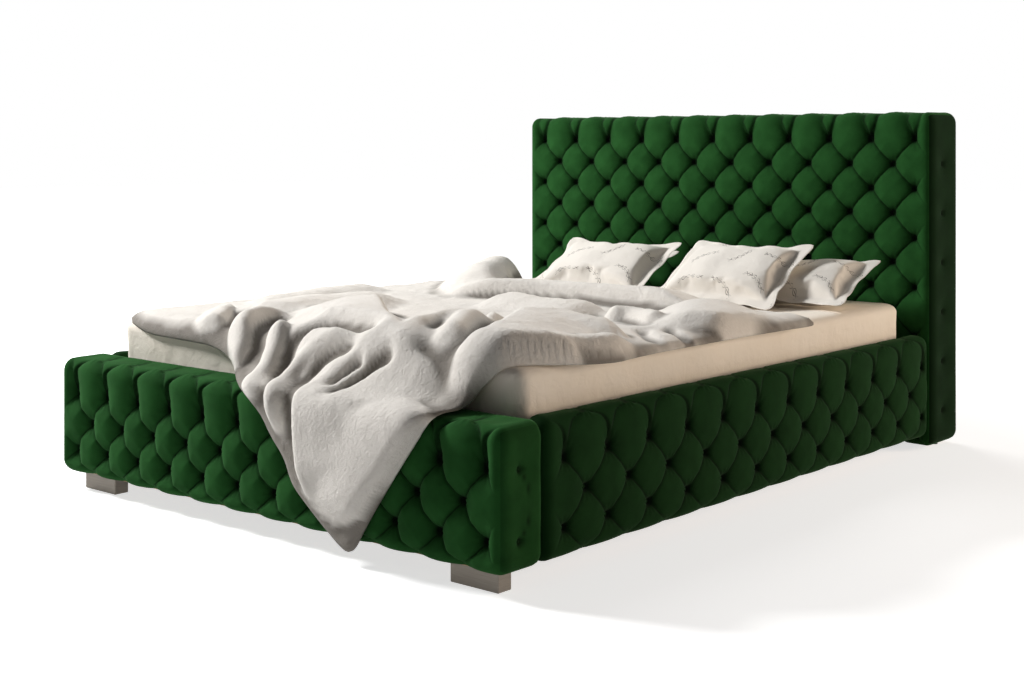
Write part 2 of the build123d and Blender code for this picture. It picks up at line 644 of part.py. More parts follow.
with BuildPart() as mattress_stop:
    stop_y = base_foot - STOP_ROD / 2
    with BuildLine() as stop_path:
        FilletPolyline(
            (-STOP_WIDTH / 2, stop_y, tube_bottom + TUBE_WALL),
            (-STOP_WIDTH / 2, stop_y, tube_top + STOP_RISE),
            (STOP_WIDTH / 2, stop_y, tube_top + STOP_RISE),
            (STOP_WIDTH / 2, stop_y, tube_bottom + TUBE_WALL),
            radius=STOP_BEND,
        )
    with BuildSketch(stop_path.line ^ 0):
        Circle(STOP_ROD / 2)
    sweep()
save(mattress_stop.part, "mattress_stop")

# Lift hinge: fixed plate with pin on the rail, arm plate bolted to the side tube
arm_outer = rail_inner - PLATE - RUNNING_GAP
arm_inner = arm_outer - ARM
pivot_plane = Plane.YZ.offset(arm_outer)
with BuildPart() as hinge_plate_right:
    with Locations((rail_inner - PLATE / 2, pivot_y, PIVOT_HEIGHT)):
        Box(PLATE, HINGE_PLATE_LENGTH, HINGE_PLATE_HEIGHT)
    with BuildSketch(Plane.YZ.offset(rail_inner - PLATE)):
        with Locations((pivot_y, PIVOT_HEIGHT)):
            Circle(PIN_RADIUS)
    extrude(amount=-(ARM + 2 * RUNNING_GAP))
    with BuildSketch(Plane.YZ.offset(arm_inner - RUNNING_GAP)):
        with Locations((pivot_y, PIVOT_HEIGHT)):
            Circle(PIN_HEAD)
    extrude(amount=-PLATE / 2)
save(hinge_plate_right.part, "hinge_plate_right")

with BuildPart() as hinge_plate_left:
    mirror(hinge_plate_right.part, about=Plane.YZ)
save(hinge_plate_left.part, "hinge_plate_left")

with BuildPart() as lift_arm_right:
    with BuildSketch(pivot_plane):
        with Locations((pivot_y, PIVOT_HEIGHT)):
            Circle(ARM_END)
        with Locations((pivot_y + ARM_END - ARM_FOOT / 2, tube_middle)):
            Rectangle(ARM_FOOT, TUBE_HEIGHT)
        make_hull()
    extrude(amount=-ARM)
    with BuildSketch(Plane.YZ.offset(arm_inner)):
        with Locations((pivot_y - ARM_FOOT / 2, tube_middle)):
            with GridLocations(ARM_FOOT / 2, 0, 2, 1):
                Circle(BOSS_RADIUS)
    extrude(amount=base_side - arm_inner)
    with BuildSketch(pivot_plane):
        with Locations((pivot_y, PIVOT_HEIGHT)):
            Circle(PIN_RADIUS + PIN_CLEARANCE)
    extrude(amount=-ARM, mode=Mode.SUBTRACT)
save(lift_arm_right.part, "lift_arm_right")

with BuildPart() as lift_arm_left:
    mirror(lift_arm_right.part, about=Plane.YZ)
save(lift_arm_left.part, "lift_arm_left")

# Gas struts: cylinder on a rail pin, rod with an open stud beside the lug of the base
rise = radians(strut_rise)
strut_plane = Plane(
    origin=(strut_x, strut_low_y, STRUT_LOW_HEIGHT),
    x_dir=(1, 0, 0),
    z_dir=(0, -sin(rise), -cos(rise)),
)
strut_axis = Axis(strut_plane.origin, strut_plane.y_dir)
low_eye = Plane.YZ.offset(strut_x)
neck_end = STRUT_EYE + STRUT_GLAND
with BuildPart() as strut_cylinder_right:
    with BuildSketch(strut_plane):
        with BuildLine():
            Polyline(
                (0, STRUT_PIN),
                (STRUT_NECK / 2, STRUT_PIN),
                (STRUT_NECK / 2, neck_end),
                (STRUT_RADIUS, neck_end),
                (STRUT_RADIUS, STRUT_BODY),
                (STRUT_ROD + STRUT_ROD_CLEARANCE, STRUT_BODY),
                (STRUT_ROD + STRUT_ROD_CLEARANCE, STRUT_BODY - STRUT_GLAND),
                (STRUT_BORE, STRUT_BODY - STRUT_GLAND),
                (STRUT_BORE, neck_end + STRUT_GLAND),
                (0, neck_end + STRUT_GLAND),
                close=True,
            )
        make_face()
    revolve(axis=strut_axis)
    with BuildSketch(low_eye):
        with Locations((strut_low_y, STRUT_LOW_HEIGHT)):
            Circle(STRUT_EYE)
    extrude(amount=STRUT_EYE_WIDTH / 2, both=True)
    with BuildSketch(low_eye):
        with Locations((strut_low_y, STRUT_LOW_HEIGHT)):
            Circle(STRUT_PIN + PIN_CLEARANCE)
    extrude(amount=STRUT_EYE_WIDTH, both=True, mode=Mode.SUBTRACT)
save(strut_cylinder_right.part, "strut_cylinder_right")

with BuildPart() as strut_cylinder_left:
    mirror(strut_cylinder_right.part, about=Plane.YZ)
save(strut_cylinder_left.part, "strut_cylinder_left")

lug_inner = base_side - PLATE
with BuildPart() as strut_rod_right:
    with BuildSketch(strut_plane):
        with BuildLine():
            Polyline(
                (0, STRUT_PISTON_AT),
                (STRUT_BORE - STRUT_ROD_CLEARANCE, STRUT_PISTON_AT),
                (STRUT_BORE - STRUT_ROD_CLEARANCE, STRUT_PISTON_AT + STRUT_PISTON),
                (STRUT_ROD, STRUT_PISTON_AT + STRUT_PISTON),
                (STRUT_ROD, strut_length),
                (0, strut_length),
                close=True,
            )
        make_face()
    revolve(axis=strut_axis)
    with BuildSketch(low_eye):
        with Locations((strut_top_y, strut_top_z)):
            Circle(STRUT_NECK)
    extrude(amount=STRUT_EYE_WIDTH / 2, both=True)
    with BuildSketch(low_eye):
        with Locations((strut_top_y, strut_top_z)):
            Circle(STRUT_PIN)
    extrude(amount=lug_inner - RUNNING_GAP - strut_x)
save(strut_rod_right.part, "strut_rod_right")

with BuildPart() as strut_rod_left:
    mirror(strut_rod_right.part, about=Plane.YZ)
save(strut_rod_left.part, "strut_rod_left")

with BuildPart() as right_lug:
    with BuildSketch(Plane.YZ.offset(lug_inner)):
        with Locations((strut_top_y, strut_top_z)):
            Circle(2 * STRUT_NECK)
        with Locations((strut_top_y, (tube_bottom + strut_top_z) / 2)):
            Rectangle(4 * STRUT_NECK, tube_bottom - strut_top_z)
    extrude(amount=PLATE)
with BuildPart() as strut_lugs:
    add(right_lug.part)
    mirror(right_lug.part, about=Plane.YZ)
save(strut_lugs.part, "strut_lugs")

with BuildPart() as right_strut_bracket:
    with Locations((rail_inner - PLATE / 2, strut_low_y, STRUT_LOW_HEIGHT)):
        Box(PLATE, 5 * STRUT_EYE, 5 * STRUT_EYE)
    with BuildSketch(Plane.YZ.offset(rail_inner - PLATE)):
        with Locations((strut_low_y, STRUT_LOW_HEIGHT)):
            Circle(STRUT_PIN)
    extrude(amount=-(STRUT_FROM_RAIL - PLATE + STRUT_EYE_WIDTH / 2 + STRUT_PIN))
with BuildPart() as strut_brackets:
    add(right_strut_bracket.part)
    mirror(right_strut_bracket.part, about=Plane.YZ)
save(strut_brackets.part, "strut_brackets")

# Mattress and fitted sheet
mattress_middle = (mattress_foot + mattress_head) / 2
with BuildPart() as mattress:
    with BuildSketch(Plane.XY.offset(MATTRESS_UNDERSIDE)):
        with Locations((0, mattress_middle)):
            RectangleRounded(MATTRESS_WIDTH, MATTRESS_LENGTH, MATTRESS_CORNER)
    extrude(amount=MATTRESS_HEIGHT)
    fillet(
        mattress.faces().sort_by(Axis.Z)[0].edges() + mattress.faces().sort_by(Axis.Z)[-1].edges(),
        MATTRESS_EDGE,
    )
save(mattress.part, "mattress")

with BuildPart() as fitted_sheet:
    with BuildSketch(Plane.XY.offset(MATTRESS_UNDERSIDE + MATTRESS_EDGE)):
        with Locations((0, mattress_middle)):
            RectangleRounded(MATTRESS_WIDTH + 2 * SHEET, MATTRESS_LENGTH + 2 * SHEET, MATTRESS_CORNER + SHEET)
    extrude(amount=MATTRESS_HEIGHT - MATTRESS_EDGE + SHEET)
    fillet(fitted_sheet.faces().sort_by(Axis.Z)[-1].edges(), MATTRESS_EDGE + SHEET)
    add(mattress.part, mode=Mode.SUBTRACT)
save(fitted_sheet.part, "fitted_sheet")

# Duvet: one filled quilt, bunched towards the foot end, that hangs over the footboard in a narrowing tongue
duvet_left = -mattress_side - DUVET_OVERHANG
duvet_right = mattress_side + DUVET_OVERHANG
duvet_rest = sheet_top + SOFT_GAP
duvet_start = 250
hang_y = footboard_front - DUVET_AIR
bend = radians(45)
bend_radius = EDGE_RADIUS + 2 * DUVET_AIR
bend_y = footboard_front + EDGE_RADIUS - bend_radius * cos(bend)
bend_z = PANEL_TOP - EDGE_RADIUS + bend_radius * sin(bend)
# foot of each section as y and z, its upright as y and z, then its left and right end
duvet_sections = [
    (mattress_head - duvet_start, duvet_rest, 0, 1, duvet_left, -mattress_side + 110),
    (mattress_head - 535, duvet_rest, 0, 1, duvet_left, -mattress_side + 135),
    (mattress_head - 565, duvet_rest, 0, 1, duvet_left, -200),
    (mattress_head - 640, duvet_rest, 0, 1, duvet_left, 320),
    (mattress_head - 720, duvet_rest, 0, 1, duvet_left, duvet_right - 40),
    (mattress_head - 900, duvet_rest, 0, 1, duvet_left, duvet_right),
    (mattress_foot + 280, duvet_rest, 0, 1, duvet_left, duvet_right - 10),
    (mattress_foot + 30, duvet_rest + 1, 0, 1, -mattress_side + 10, mattress_side - 60),
    (mattress_foot - 2, duvet_rest, -0.5, 0.866, -mattress_side + 60, mattress_side - 70),
    (mattress_foot - 20, duvet_rest - 14, -0.5, 0.866, -360, mattress_side - 85),
    (footboard_front + EDGE_RADIUS, PANEL_TOP + DUVET_AIR, -0.5, 0.866, -110, 640),
    (bend_y, bend_z, -0.8, 0.6, -80, 620),
    (hang_y, PANEL_TOP - EDGE_RADIUS, -1, 0, -30, 590),
    (hang_y, PANEL_TOP - 130, -1, 0, 70, 535),
    (hang_y, PANEL_TOP - 240, -1, 0, 180, 480),
    (hang_y, PANEL_BOTTOM, -1, 0, 350, 430),
]
# main folds: height, reach on the gentle and on the steep side, then the crest through points of the
# quilt's flat plan: x, and the way along the quilt from the mattress head end
duvet_folds = [
    (DUVET_PEAK, 110, 130, [(-770, 280), (-660, 460), (-500, 680), (-300, 900)]),
    (85, 200, 70, [(660, 890), (440, 840), (90, 840), (-120, 880), (-330, 960), (-500, 1030)]),
    (70, 160, 220, [(500, 780), (620, 930), (740, 1130), (840, 1280)]),
    (85, 190, 190, [(-220, 1260), (-400, 1360), (-440, 1540), (-400, 1740), (-300, 1880)]),
    (75, 220, 65, [(390, 1980), (200, 1950), (0, 1880), (-140, 1840), (-300, 1880)]),
    (85, 130, 70, [(-300, 1430), (-10, 1630), (200, 1800), (390, 1980)]),
    (80, 70, 60, [(170, 1330), (300, 1580), (400, 1800), (500, 1990), (530, 2030)]),
    (85, 100, 160, [(300, 1260), (370, 1470), (530, 1750), (630, 1930), (670, 2040), (700, 2160)]),
    (75, 100, 70, [(350, 1280), (500, 1460), (660, 1580), (800, 1600)]),
    (58, 120, 60, [(800, 1510), (820, 1680), (760, 1840), (700, 1980), (660, 2080)]),
    (50, 130, 130, [(-720, 880), (-700, 1230), (-660, 1480), (-600, 1700), (-500, 1930)]),
    (60, 70, 60, [(-70, 1780), (-50, 1970), (0, 2110), (50, 2220)]),
    (60, 70, 60, [(390, 1990), (210, 2010), (180, 2110), (190, 2250), (250, 2330)]),
    (60, 220, 60, [(700, 2150), (670, 2220), (560, 2320), (460, 2400), (400, 2460), (420, 2540)]),
]


def fold_height(x, way):
    """How far the quilt stands off the bed at a place of its flat plan: the highest fold there sets it."""
    rise = DUVET
    spot = complex(x, way)
    for height, gentle, steep, crest in duvet_folds:
        for start, end in zip(crest, crest[1:]):
            run = complex(*end) - complex(*start)
            off = spot - complex(*start)
            off -= run * min(max((off * run.conjugate()).real / abs(run) ** 2, 0), 1)
            reach = gentle if (off * run.conjugate()).imag > 0 else steep
            rise = max(rise, height * (1 + cos(pi * min(abs(off) / reach, 1))) / 2)
    return rise + DUVET_SWELL * sin(x / DUVET_STEP) * cos(way / DUVET_STEP)


def duvet_rim(section, way):
    """Points round one section of the quilt: up its right end, over the folds and down its left end."""
    y, z, up_y, up_z, left, right = section
    upright = Vector(0, up_y, up_z).normalized()
    foot = Vector(0, y, z)
    limit = DUVET_PEAK if up_y == 0 else DUVET + DUVET_FOLD
    rim = [(right, 0), (right, DUVET_HEM)]
    for k in range(1, DUVET_COLUMNS):
        x = right + (left - right) * k / DUVET_COLUMNS
        rim.append((x, min(fold_height(x, way), limit)))
    rim += [(left, DUVET_HEM), (left, 0)]
    return [foot + Vector(x, 0, 0) + upright * height for x, height in rim]


way = duvet_start
rims = [duvet_rim(duvet_sections[0], way)]
for section, after in zip(duvet_sections, duvet_sections[1:]):
    ahead = hypot(after[0] - section[0], after[1] - section[1])
    count = ceil(ahead / DUVET_STEP)
    for step in range(1, count + 1):
        between = [a + (b - a) * step / count for a, b in zip(section, after)]
        rims.append(duvet_rim(between, way + ahead * step / count))
    way += ahead
facets = [Face(Wire.make_polygon(rims[0])), Face(Wire.make_polygon(rims[-1]))]
for rim, after in zip(rims, rims[1:]):
    for k in range(len(rim)):
        facets.append(Face(Wire.make_polygon((rim[k - 1], rim[k], after[k]))))
        facets.append(Face(Wire.make_polygon((rim[k - 1], after[k], after[k - 1]))))
with BuildPart() as duvet:
    add(Solid(Shell(facets)))
save(duvet.part, "duvet")

# Pillows: filled bags with a flat flange, leaning towards the headboard
crown_reach = PILLOW_LENGTH / 2 - PILLOW_FLANGE
seam = PILLOW_WIDTH / 2 - PILLOW_FLANGE
with BuildPart() as pillow:
    for x in (-1, -0.875, -0.8, -0.6, -0.3, 0, 0.3, 0.6, 0.8, 0.875, 1):
        at = x * PILLOW_LENGTH / 2
        fill = max(1 - (at / crown_reach) ** 2, 0) ** 0.6
        crown = PILLOW_HEM + 0.5 + PILLOW_CROWN * fill
        draw = PILLOW_DRAW * fill / 2
        with BuildSketch(Plane.YZ.offset(at)):
            with BuildLine():
                ThreePointArc((-seam + draw, PILLOW_HEM), (0, crown), (seam - draw, PILLOW_HEM))
                Polyline(
                    (seam - draw, PILLOW_HEM),
                    (PILLOW_WIDTH / 2 - draw, PILLOW_HEM),
                    (PILLOW_WIDTH / 2 - draw, -PILLOW_HEM),
                    (seam - draw, -PILLOW_HEM),
                )
                ThreePointArc((seam - draw, -PILLOW_HEM), (0, -crown), (-seam + draw, -PILLOW_HEM))
                Polyline(
                    (-seam + draw, -PILLOW_HEM),
                    (-PILLOW_WIDTH / 2 + draw, -PILLOW_HEM),
                    (-PILLOW_WIDTH / 2 + draw, PILLOW_HEM),
                    (-seam + draw, PILLOW_HEM),
                )
            make_face()
    loft(ruled=True)

# x of the middle, distance of the middle from the mattress head end, lean and turn in degrees
pillow_places = {
    "pillow_left_front": (-180, 370, 33, 2),
    "pillow_left_back": (-280, 250, 22, -2),
    "pillow_right_front": (360, 370, 34, -2),
    "pillow_right_back": (540, 250, 22, 2),
}
for name, (x, from_head, lean, turn) in pillow_places.items():
    laid = Pos(x, mattress_head - from_head, 0) * Rot(0, 0, turn) * Rot(lean, 0, 0) * pillow.part
    drop = sheet_top + SOFT_GAP - laid.bounding_box().min.Z
    with BuildPart() as placed_pillow:
        add(Pos(0, 0, drop) * laid)
    save(placed_pillow.part, name)
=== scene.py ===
# %% [markdown]
# An upholstered bed with a tall buttoned headboard, in emerald velvet, dressed with a linen
# duvet and four pillows. The CAD frame holds the structure: boards, brackets, the lifting
# slatted base and its gas struts. This lesson adds what the eye sees: foam pads with deep
# buttoned diamonds, cloth that folds, and a finish for every surface.

# %% Load the CAD frame
import math
from types import SimpleNamespace

import bpy
import numpy as np
from mathutils import Matrix, Vector, noise


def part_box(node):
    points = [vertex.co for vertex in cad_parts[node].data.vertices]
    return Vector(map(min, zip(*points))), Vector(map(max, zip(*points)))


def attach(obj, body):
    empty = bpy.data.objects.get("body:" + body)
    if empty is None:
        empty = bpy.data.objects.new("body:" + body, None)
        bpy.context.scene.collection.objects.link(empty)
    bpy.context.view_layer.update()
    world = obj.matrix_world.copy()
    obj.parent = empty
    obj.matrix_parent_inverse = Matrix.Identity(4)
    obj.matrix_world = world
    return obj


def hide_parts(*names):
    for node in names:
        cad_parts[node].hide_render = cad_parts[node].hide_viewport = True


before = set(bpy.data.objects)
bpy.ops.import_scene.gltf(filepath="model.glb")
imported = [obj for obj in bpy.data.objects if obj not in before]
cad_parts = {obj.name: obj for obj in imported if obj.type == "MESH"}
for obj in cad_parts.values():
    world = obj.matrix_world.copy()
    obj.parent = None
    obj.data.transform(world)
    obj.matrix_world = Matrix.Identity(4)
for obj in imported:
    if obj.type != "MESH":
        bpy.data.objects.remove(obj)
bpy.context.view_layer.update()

# %% [markdown]
# Every material below is a small node tree. One helper adds a node with its settings and its
# links, one starts a new material, one turns a hex colour into the linear numbers that the
# renderer works in, and one turns a real pattern size in millimetres into a texture scale,
# because the textures read Object coordinates, which are metres.

# %% Helpers for materials
def put(tree, kind, inputs=None, **settings):
    """Adds one node: settings are its properties, inputs its values or the sockets linked to it."""
    node = tree.nodes.new(kind)
    for key, value in settings.items():
        setattr(node, key, value)
    for key, value in (inputs or {}).items():
        if isinstance(value, bpy.types.NodeSocket):
            tree.links.new(value, node.inputs[key])
        else:
            node.inputs[key].default_value = value
    return node


def linear(hex_colour):
    """A colour written as sRGB hex, as linear red, green, blue and alpha, by the sRGB curve."""
    shares = [int(hex_colour[i:i + 2], 16) / 255 for i in (1, 3, 5)]
    return [s / 12.92 if s < 0.04045 else ((s + 0.055) / 1.055) ** 2.4 for s in shares] + [1]


def per_metre(size_mm):
    """The texture scale that repeats a pattern about every size_mm millimetres."""
    return 1000 / size_mm


def new_material(name):
    """An empty material, its tree, and the Object coordinates its textures read."""
    material = bpy.data.materials.new(name)
    material.use_nodes = True
    tree = material.node_tree
    tree.nodes.clear()
    return material, tree, put(tree, "ShaderNodeTexCoord").outputs["Object"]


print("mid grey is", round(linear("#808080")[0], 3), "in linear light")

# %% [markdown]
# The cover is a short pile polyester velvet. Pile stands off the backing, so the cloth looks
# darker face on and catches light where it turns away: that is the sheen. The nap lies in
# slightly different directions, which gives soft lighter and darker patches. Shade is painted
# into the pleats and the button holes: each pad carries an attribute that mixes the colour towards
# near black there. On the pad ends and the rails it also paints shade over whole faces.

# %% Velvet
VELVET_LIT = "#2A5B2B"
VELVET_DARK = "#163A17"
# painted shade: the near black that pleats, holes, buttons and shaded faces are mixed towards
VELVET_PAINTED_SHADE = "#020502"
VELVET_RIM = "#8FBF8C"


def velvet():
    """Short pile velvet: deep green face on, a soft pale rim where it turns, shade painted near black in
    the pleats.
    """
    material, tree, place = new_material("emerald_pile_velvet")
    nap_and_painted_shade = put(tree, "ShaderNodeTexNoise", {"Vector": place, "Scale": per_metre(60), "Detail": 4.0})
    # pile of about half a millimetre is too fine for the picture, so it is drawn at 2 mm
    pile = put(tree, "ShaderNodeTexNoise", {"Vector": place, "Scale": per_metre(2), "Detail": 2.0})
    patches = put(tree, "ShaderNodeMix", {"A": linear(VELVET_DARK), "B": linear(VELVET_LIT),
                                          "Factor": nap_and_painted_shade.outputs["Fac"]}, data_type="RGBA")
    # painted shade: this attribute mixes the velvet towards near black in pleats, holes and on shaded
    # faces
    crease_and_painted_shade = put(tree, "ShaderNodeAttribute", attribute_name="crease_and_painted_shade")
    cover = put(tree, "ShaderNodeMix", {"A": patches.outputs["Result"], "B": linear(VELVET_PAINTED_SHADE),
                                        "Factor": crease_and_painted_shade.outputs["Fac"]}, data_type="RGBA")
    bump = put(tree, "ShaderNodeBump", {"Height": pile.outputs["Fac"], "Strength": 0.25,
                                        "Distance": 0.0006})
    shader = put(tree, "ShaderNodeBsdfPrincipled", {
        "Base Color": cover.outputs["Result"], "Roughness": 0.9, "Specular IOR Level": 0.045,
        "Sheen Weight": 0.10, "Sheen Roughness": 0.35, "Sheen Tint": linear(VELVET_RIM),
        "Normal": bump.outputs["Normal"]})
    put(tree, "ShaderNodeOutputMaterial", {"Surface": shader.outputs["BSDF"]})
    return material


VELVET = velvet()
print("material:", VELVET.name)

# %% [markdown]
# A pad is a rounded block of foam whose cover is pulled down by buttons. The buttons stand on
# a lattice: rows alternate by half a pitch, so the pleats between neighbours run diagonally
# and cut the face into diamonds. The mesh follows that rule. Its grid is laid so that a pleat
# always runs along the diagonal of the grid's cells, and each cell is split along it, which
# gives a crisp crease with few triangles. The top face has no buttons of its own: the pleats
# of the top row run on over the top edge and arch it.

# %% Rounded block grid
PLEAT_STEPS = 16                # grid steps from one row of buttons to the next
EDGE_RADIUS = 0.040
BACK_RADIUS = 0.018
TINY, SMALL = 1e-9, 1e-6        # keep divisions away from zero


def steps(*stops):
    """Places along a line: pairs of an end and the number of steps up to it, after a start."""
    start, runs = stops[0], stops[1:]
    places = [np.array([start])]
    for end, count in runs:
        places.append(np.linspace(places[-1][-1], end, count + 1)[1:])
    return np.concatenate(places)


def block_faces(across, up, deep, sides):
    """Grid indices (i, j, k) of the quads on the named sides of a block."""
    i_end, j_end, k_end = across - 1, up - 1, deep - 1
    # for each side: the axis that stands still, its index, and the two axes that run
    layout = {"front": (2, 0, 0, 1), "back": (2, k_end, 1, 0), "left": (0, 0, 1, 2),
              "right": (0, i_end, 2, 1), "bottom": (1, 0, 2, 0), "top": (1, j_end, 0, 2)}
    ends = (i_end, j_end, k_end)
    quads = []
    for side in sides:
        still, at, first, second = layout[side]
        a, b = np.meshgrid(np.arange(ends[first]), np.arange(ends[second]), indexing="ij")
        ring = [(a, b), (a + 1, b), (a + 1, b + 1), (a, b + 1)]
        quad = np.zeros((a.size, 4, 3), int)
        quad[..., still] = at
        for corner, (p, q) in enumerate(ring):
            quad[:, corner, first] = p.ravel()
            quad[:, corner, second] = q.ravel()
        quads.append(quad)
    return np.concatenate(quads)


def rounded(points, low, high, radii_low, radii_high):
    """Moves points of a sharp box onto a rounded one, and gives the outward directions."""
    inner_low, inner_high = low + radii_low, high - radii_high
    core = np.clip(points, inner_low, inner_high)
    reach = points - core
    radii = np.where(reach < 0, radii_low, radii_high)
    unit = reach / radii
    unit /= np.maximum(np.linalg.norm(unit, axis=1, keepdims=True), TINY)
    out = unit / radii
    out /= np.maximum(np.linalg.norm(out, axis=1, keepdims=True), TINY)
    return core + unit * radii, out


print("pleat grid:", PLEAT_STEPS, "steps a row")

# %% [markdown]
# The depth of the cover at any place follows from the two diagonal families of pleats. Their
# fractions a and b are 0 on a pleat and a half in the middle of a diamond. The cover is
# lowest at a button, rises along the pleat to the middle of its run, and rises steeply away
# from the pleat into the diamond's crown, as foam under tension does. Each button also pulls
# a narrow hole and a ring of small gathers. Above the top row the pleats open into a V of
# slack cloth that lies lower than the crowns beside it, which scallops the top edge.

# %% Depth of the buttoned cover
PIT_DEPTH = 0.032
PLEAT_SHARE = 0.45              # of the pit's depth, half way along a pleat
PLEAT_CURVE = 0.9               # how a pleat rises from a button: 1 is straight
CROWN_SOFT, CROWN_STEEP = 0.3, 0.7      # shares of a low and of a full round in a crown's profile
ARCH_HEIGHT = 0.85              # in rows, of the arches above the top row
GUSSET_OPENS = 0.4              # in rows, where a gusset between petals has its full width
NARROWEST = 0.02                # in columns, of a petal
SLACK_LOW, SLACK_RISE = 0.45, 0.55      # depth of an open pleat's middle, and its rise to its edge
EASE_NEAR, EASE_FAR = 0.5, 0.2  # how much of the depth is lost over the first and the next rows
EASE_NEAR_ROWS, EASE_FAR_ROWS = 0.45, 0.5
# the dark line along a pleat is painted shade, this wide
PLEAT_LINE = 0.0032             # half width of the dark line that a pleat shows


def smooth(x):
    """0 to 1 with soft ends."""
    x = np.clip(x, 0, 1)
    return x * x * (3 - 2 * x)


def arched(x):
    """0 to 1 with a steep start, like the side of a filled cushion."""
    left = 1 - np.clip(x, 0, 1)
    return CROWN_SOFT * (1 - left ** 2) + CROWN_STEEP * np.sqrt(np.maximum(1 - left ** 3, 0))


def pleat_fractions(column, row):
    """How far lattice places lie from the two families of pleats, 0 on one and 1 half way."""
    a = np.abs(column - row / 2 - np.round(column - row / 2)) * 2
    b = np.abs(column + row / 2 - np.round(column + row / 2)) * 2
    return a, b


def cover_depth(a, b):
    """Share of the pit's depth at pleat fractions, 0 on a crown and 1 at a button."""
    crown = arched(a) * arched(b)
    along = 1 - (1 - np.clip(a, 0, 1) ** PLEAT_CURVE) * (1 - np.clip(b, 0, 1) ** PLEAT_CURVE)
    return 1 - (PLEAT_SHARE * crown + (1 - PLEAT_SHARE) * along)


def pleat_line(a, b, pitch, row_pitch):
    """1 on a pleat, falling to 0 a few millimetres beside it, for the shade painted along it."""
    slope = math.hypot(1 / pitch, 1 / (2 * row_pitch))
    beside = np.minimum(a, b) / 2 / slope
    return np.exp(-((beside / PLEAT_LINE) ** 2))


def petals_above(column, row, gusset):
    """Depth and pleat fraction above the top row: arches, or petals with a narrow gusset."""
    aside = np.abs(column - np.round(column))
    if gusset:
        width = gusset * smooth(-row / GUSSET_OPENS) + SMALL
    else:
        width = 0.5 - 0.5 * np.sqrt(np.maximum(1 - (row / ARCH_HEIGHT) ** 2, 0)) + SMALL
    between = np.clip((aside - width) / np.maximum(0.5 - width, NARROWEST), 0, 1)
    slack = SLACK_LOW + SLACK_RISE * np.minimum(aside / width, 1) ** 3
    tuck = np.where(aside < width, slack, cover_depth(between, between))
    eased = 1 - EASE_NEAR * smooth(-row / EASE_NEAR_ROWS)
    eased = eased - EASE_FAR * smooth((-row - EASE_NEAR_ROWS) / EASE_FAR_ROWS)
    return tuck * eased, np.where(aside < width, np.maximum(width - aside, 0), between)


print("pits", round(PIT_DEPTH * 1000), "mm deep, pleats", round(PIT_DEPTH * PLEAT_SHARE * 1000), "mm")

# %% Holes and gathers at the buttons
HOLE_DEPTH = 0.012              # how much deeper the narrow hole at a button is
HOLE_RADIUS = 0.013
GATHER_DEPTH = 0.0013           # small gathers of cloth round each button
GATHER_COUNT = 10
GATHER_RING = 0.020             # radius at which they are deepest
GATHER_WIDTH = 0.011


def button_marks(column, row, pitch, row_pitch):
    """The hole at each button, and the gathers that run out from it."""
    even = np.round(row / 2) * 2
    odd = np.round((row - 1) / 2) * 2 + 1
    gathers, hole = np.zeros_like(column), np.zeros_like(column)
    for line, shift in ((even, 0.0), (odd, 0.5)):
        x = (column - shift - np.round(column - shift)) * pitch
        z = (row - line) * row_pitch
        away = np.hypot(x, z)
        turn = np.arctan2(z, x)
        gathers += np.cos(GATHER_COUNT * turn) * np.exp(-(((away - GATHER_RING) / GATHER_WIDTH) ** 2))
        hole += np.exp(-((away / HOLE_RADIUS) ** 2))
    return gathers, hole


print("holes", round((PIT_DEPTH + HOLE_DEPTH) * 1000), "mm deep at most")

# %% [markdown]
# One function makes all four pads from the frame's boxes: the lattice's count of columns and
# rows, its first row and its margins are what differs. First comes the grid, whose points know
# their column and row in the lattice, then its relief, then the pad. The function also returns
# where each button sits and which way it faces, for the buttons that come next.

# %% Grid of a pad
COLLECTION = bpy.context.scene.collection
PAD_SIDES = ("front", "top", "bottom", "left", "right")
LEAST_BELOW, LEAST_ASIDE = 2, 3     # fewest grid steps below the last row and past the last column


def piece_from(name, points, faces, material):
    """A smooth shaded mesh object at the origin."""
    mesh = bpy.data.meshes.new(name)
    mesh.from_pydata(np.asarray(points).tolist(), [], faces)
    mesh.materials.append(material)
    mesh.shade_smooth()
    piece = bpy.data.objects.new(name, mesh)
    COLLECTION.objects.link(piece)
    return piece


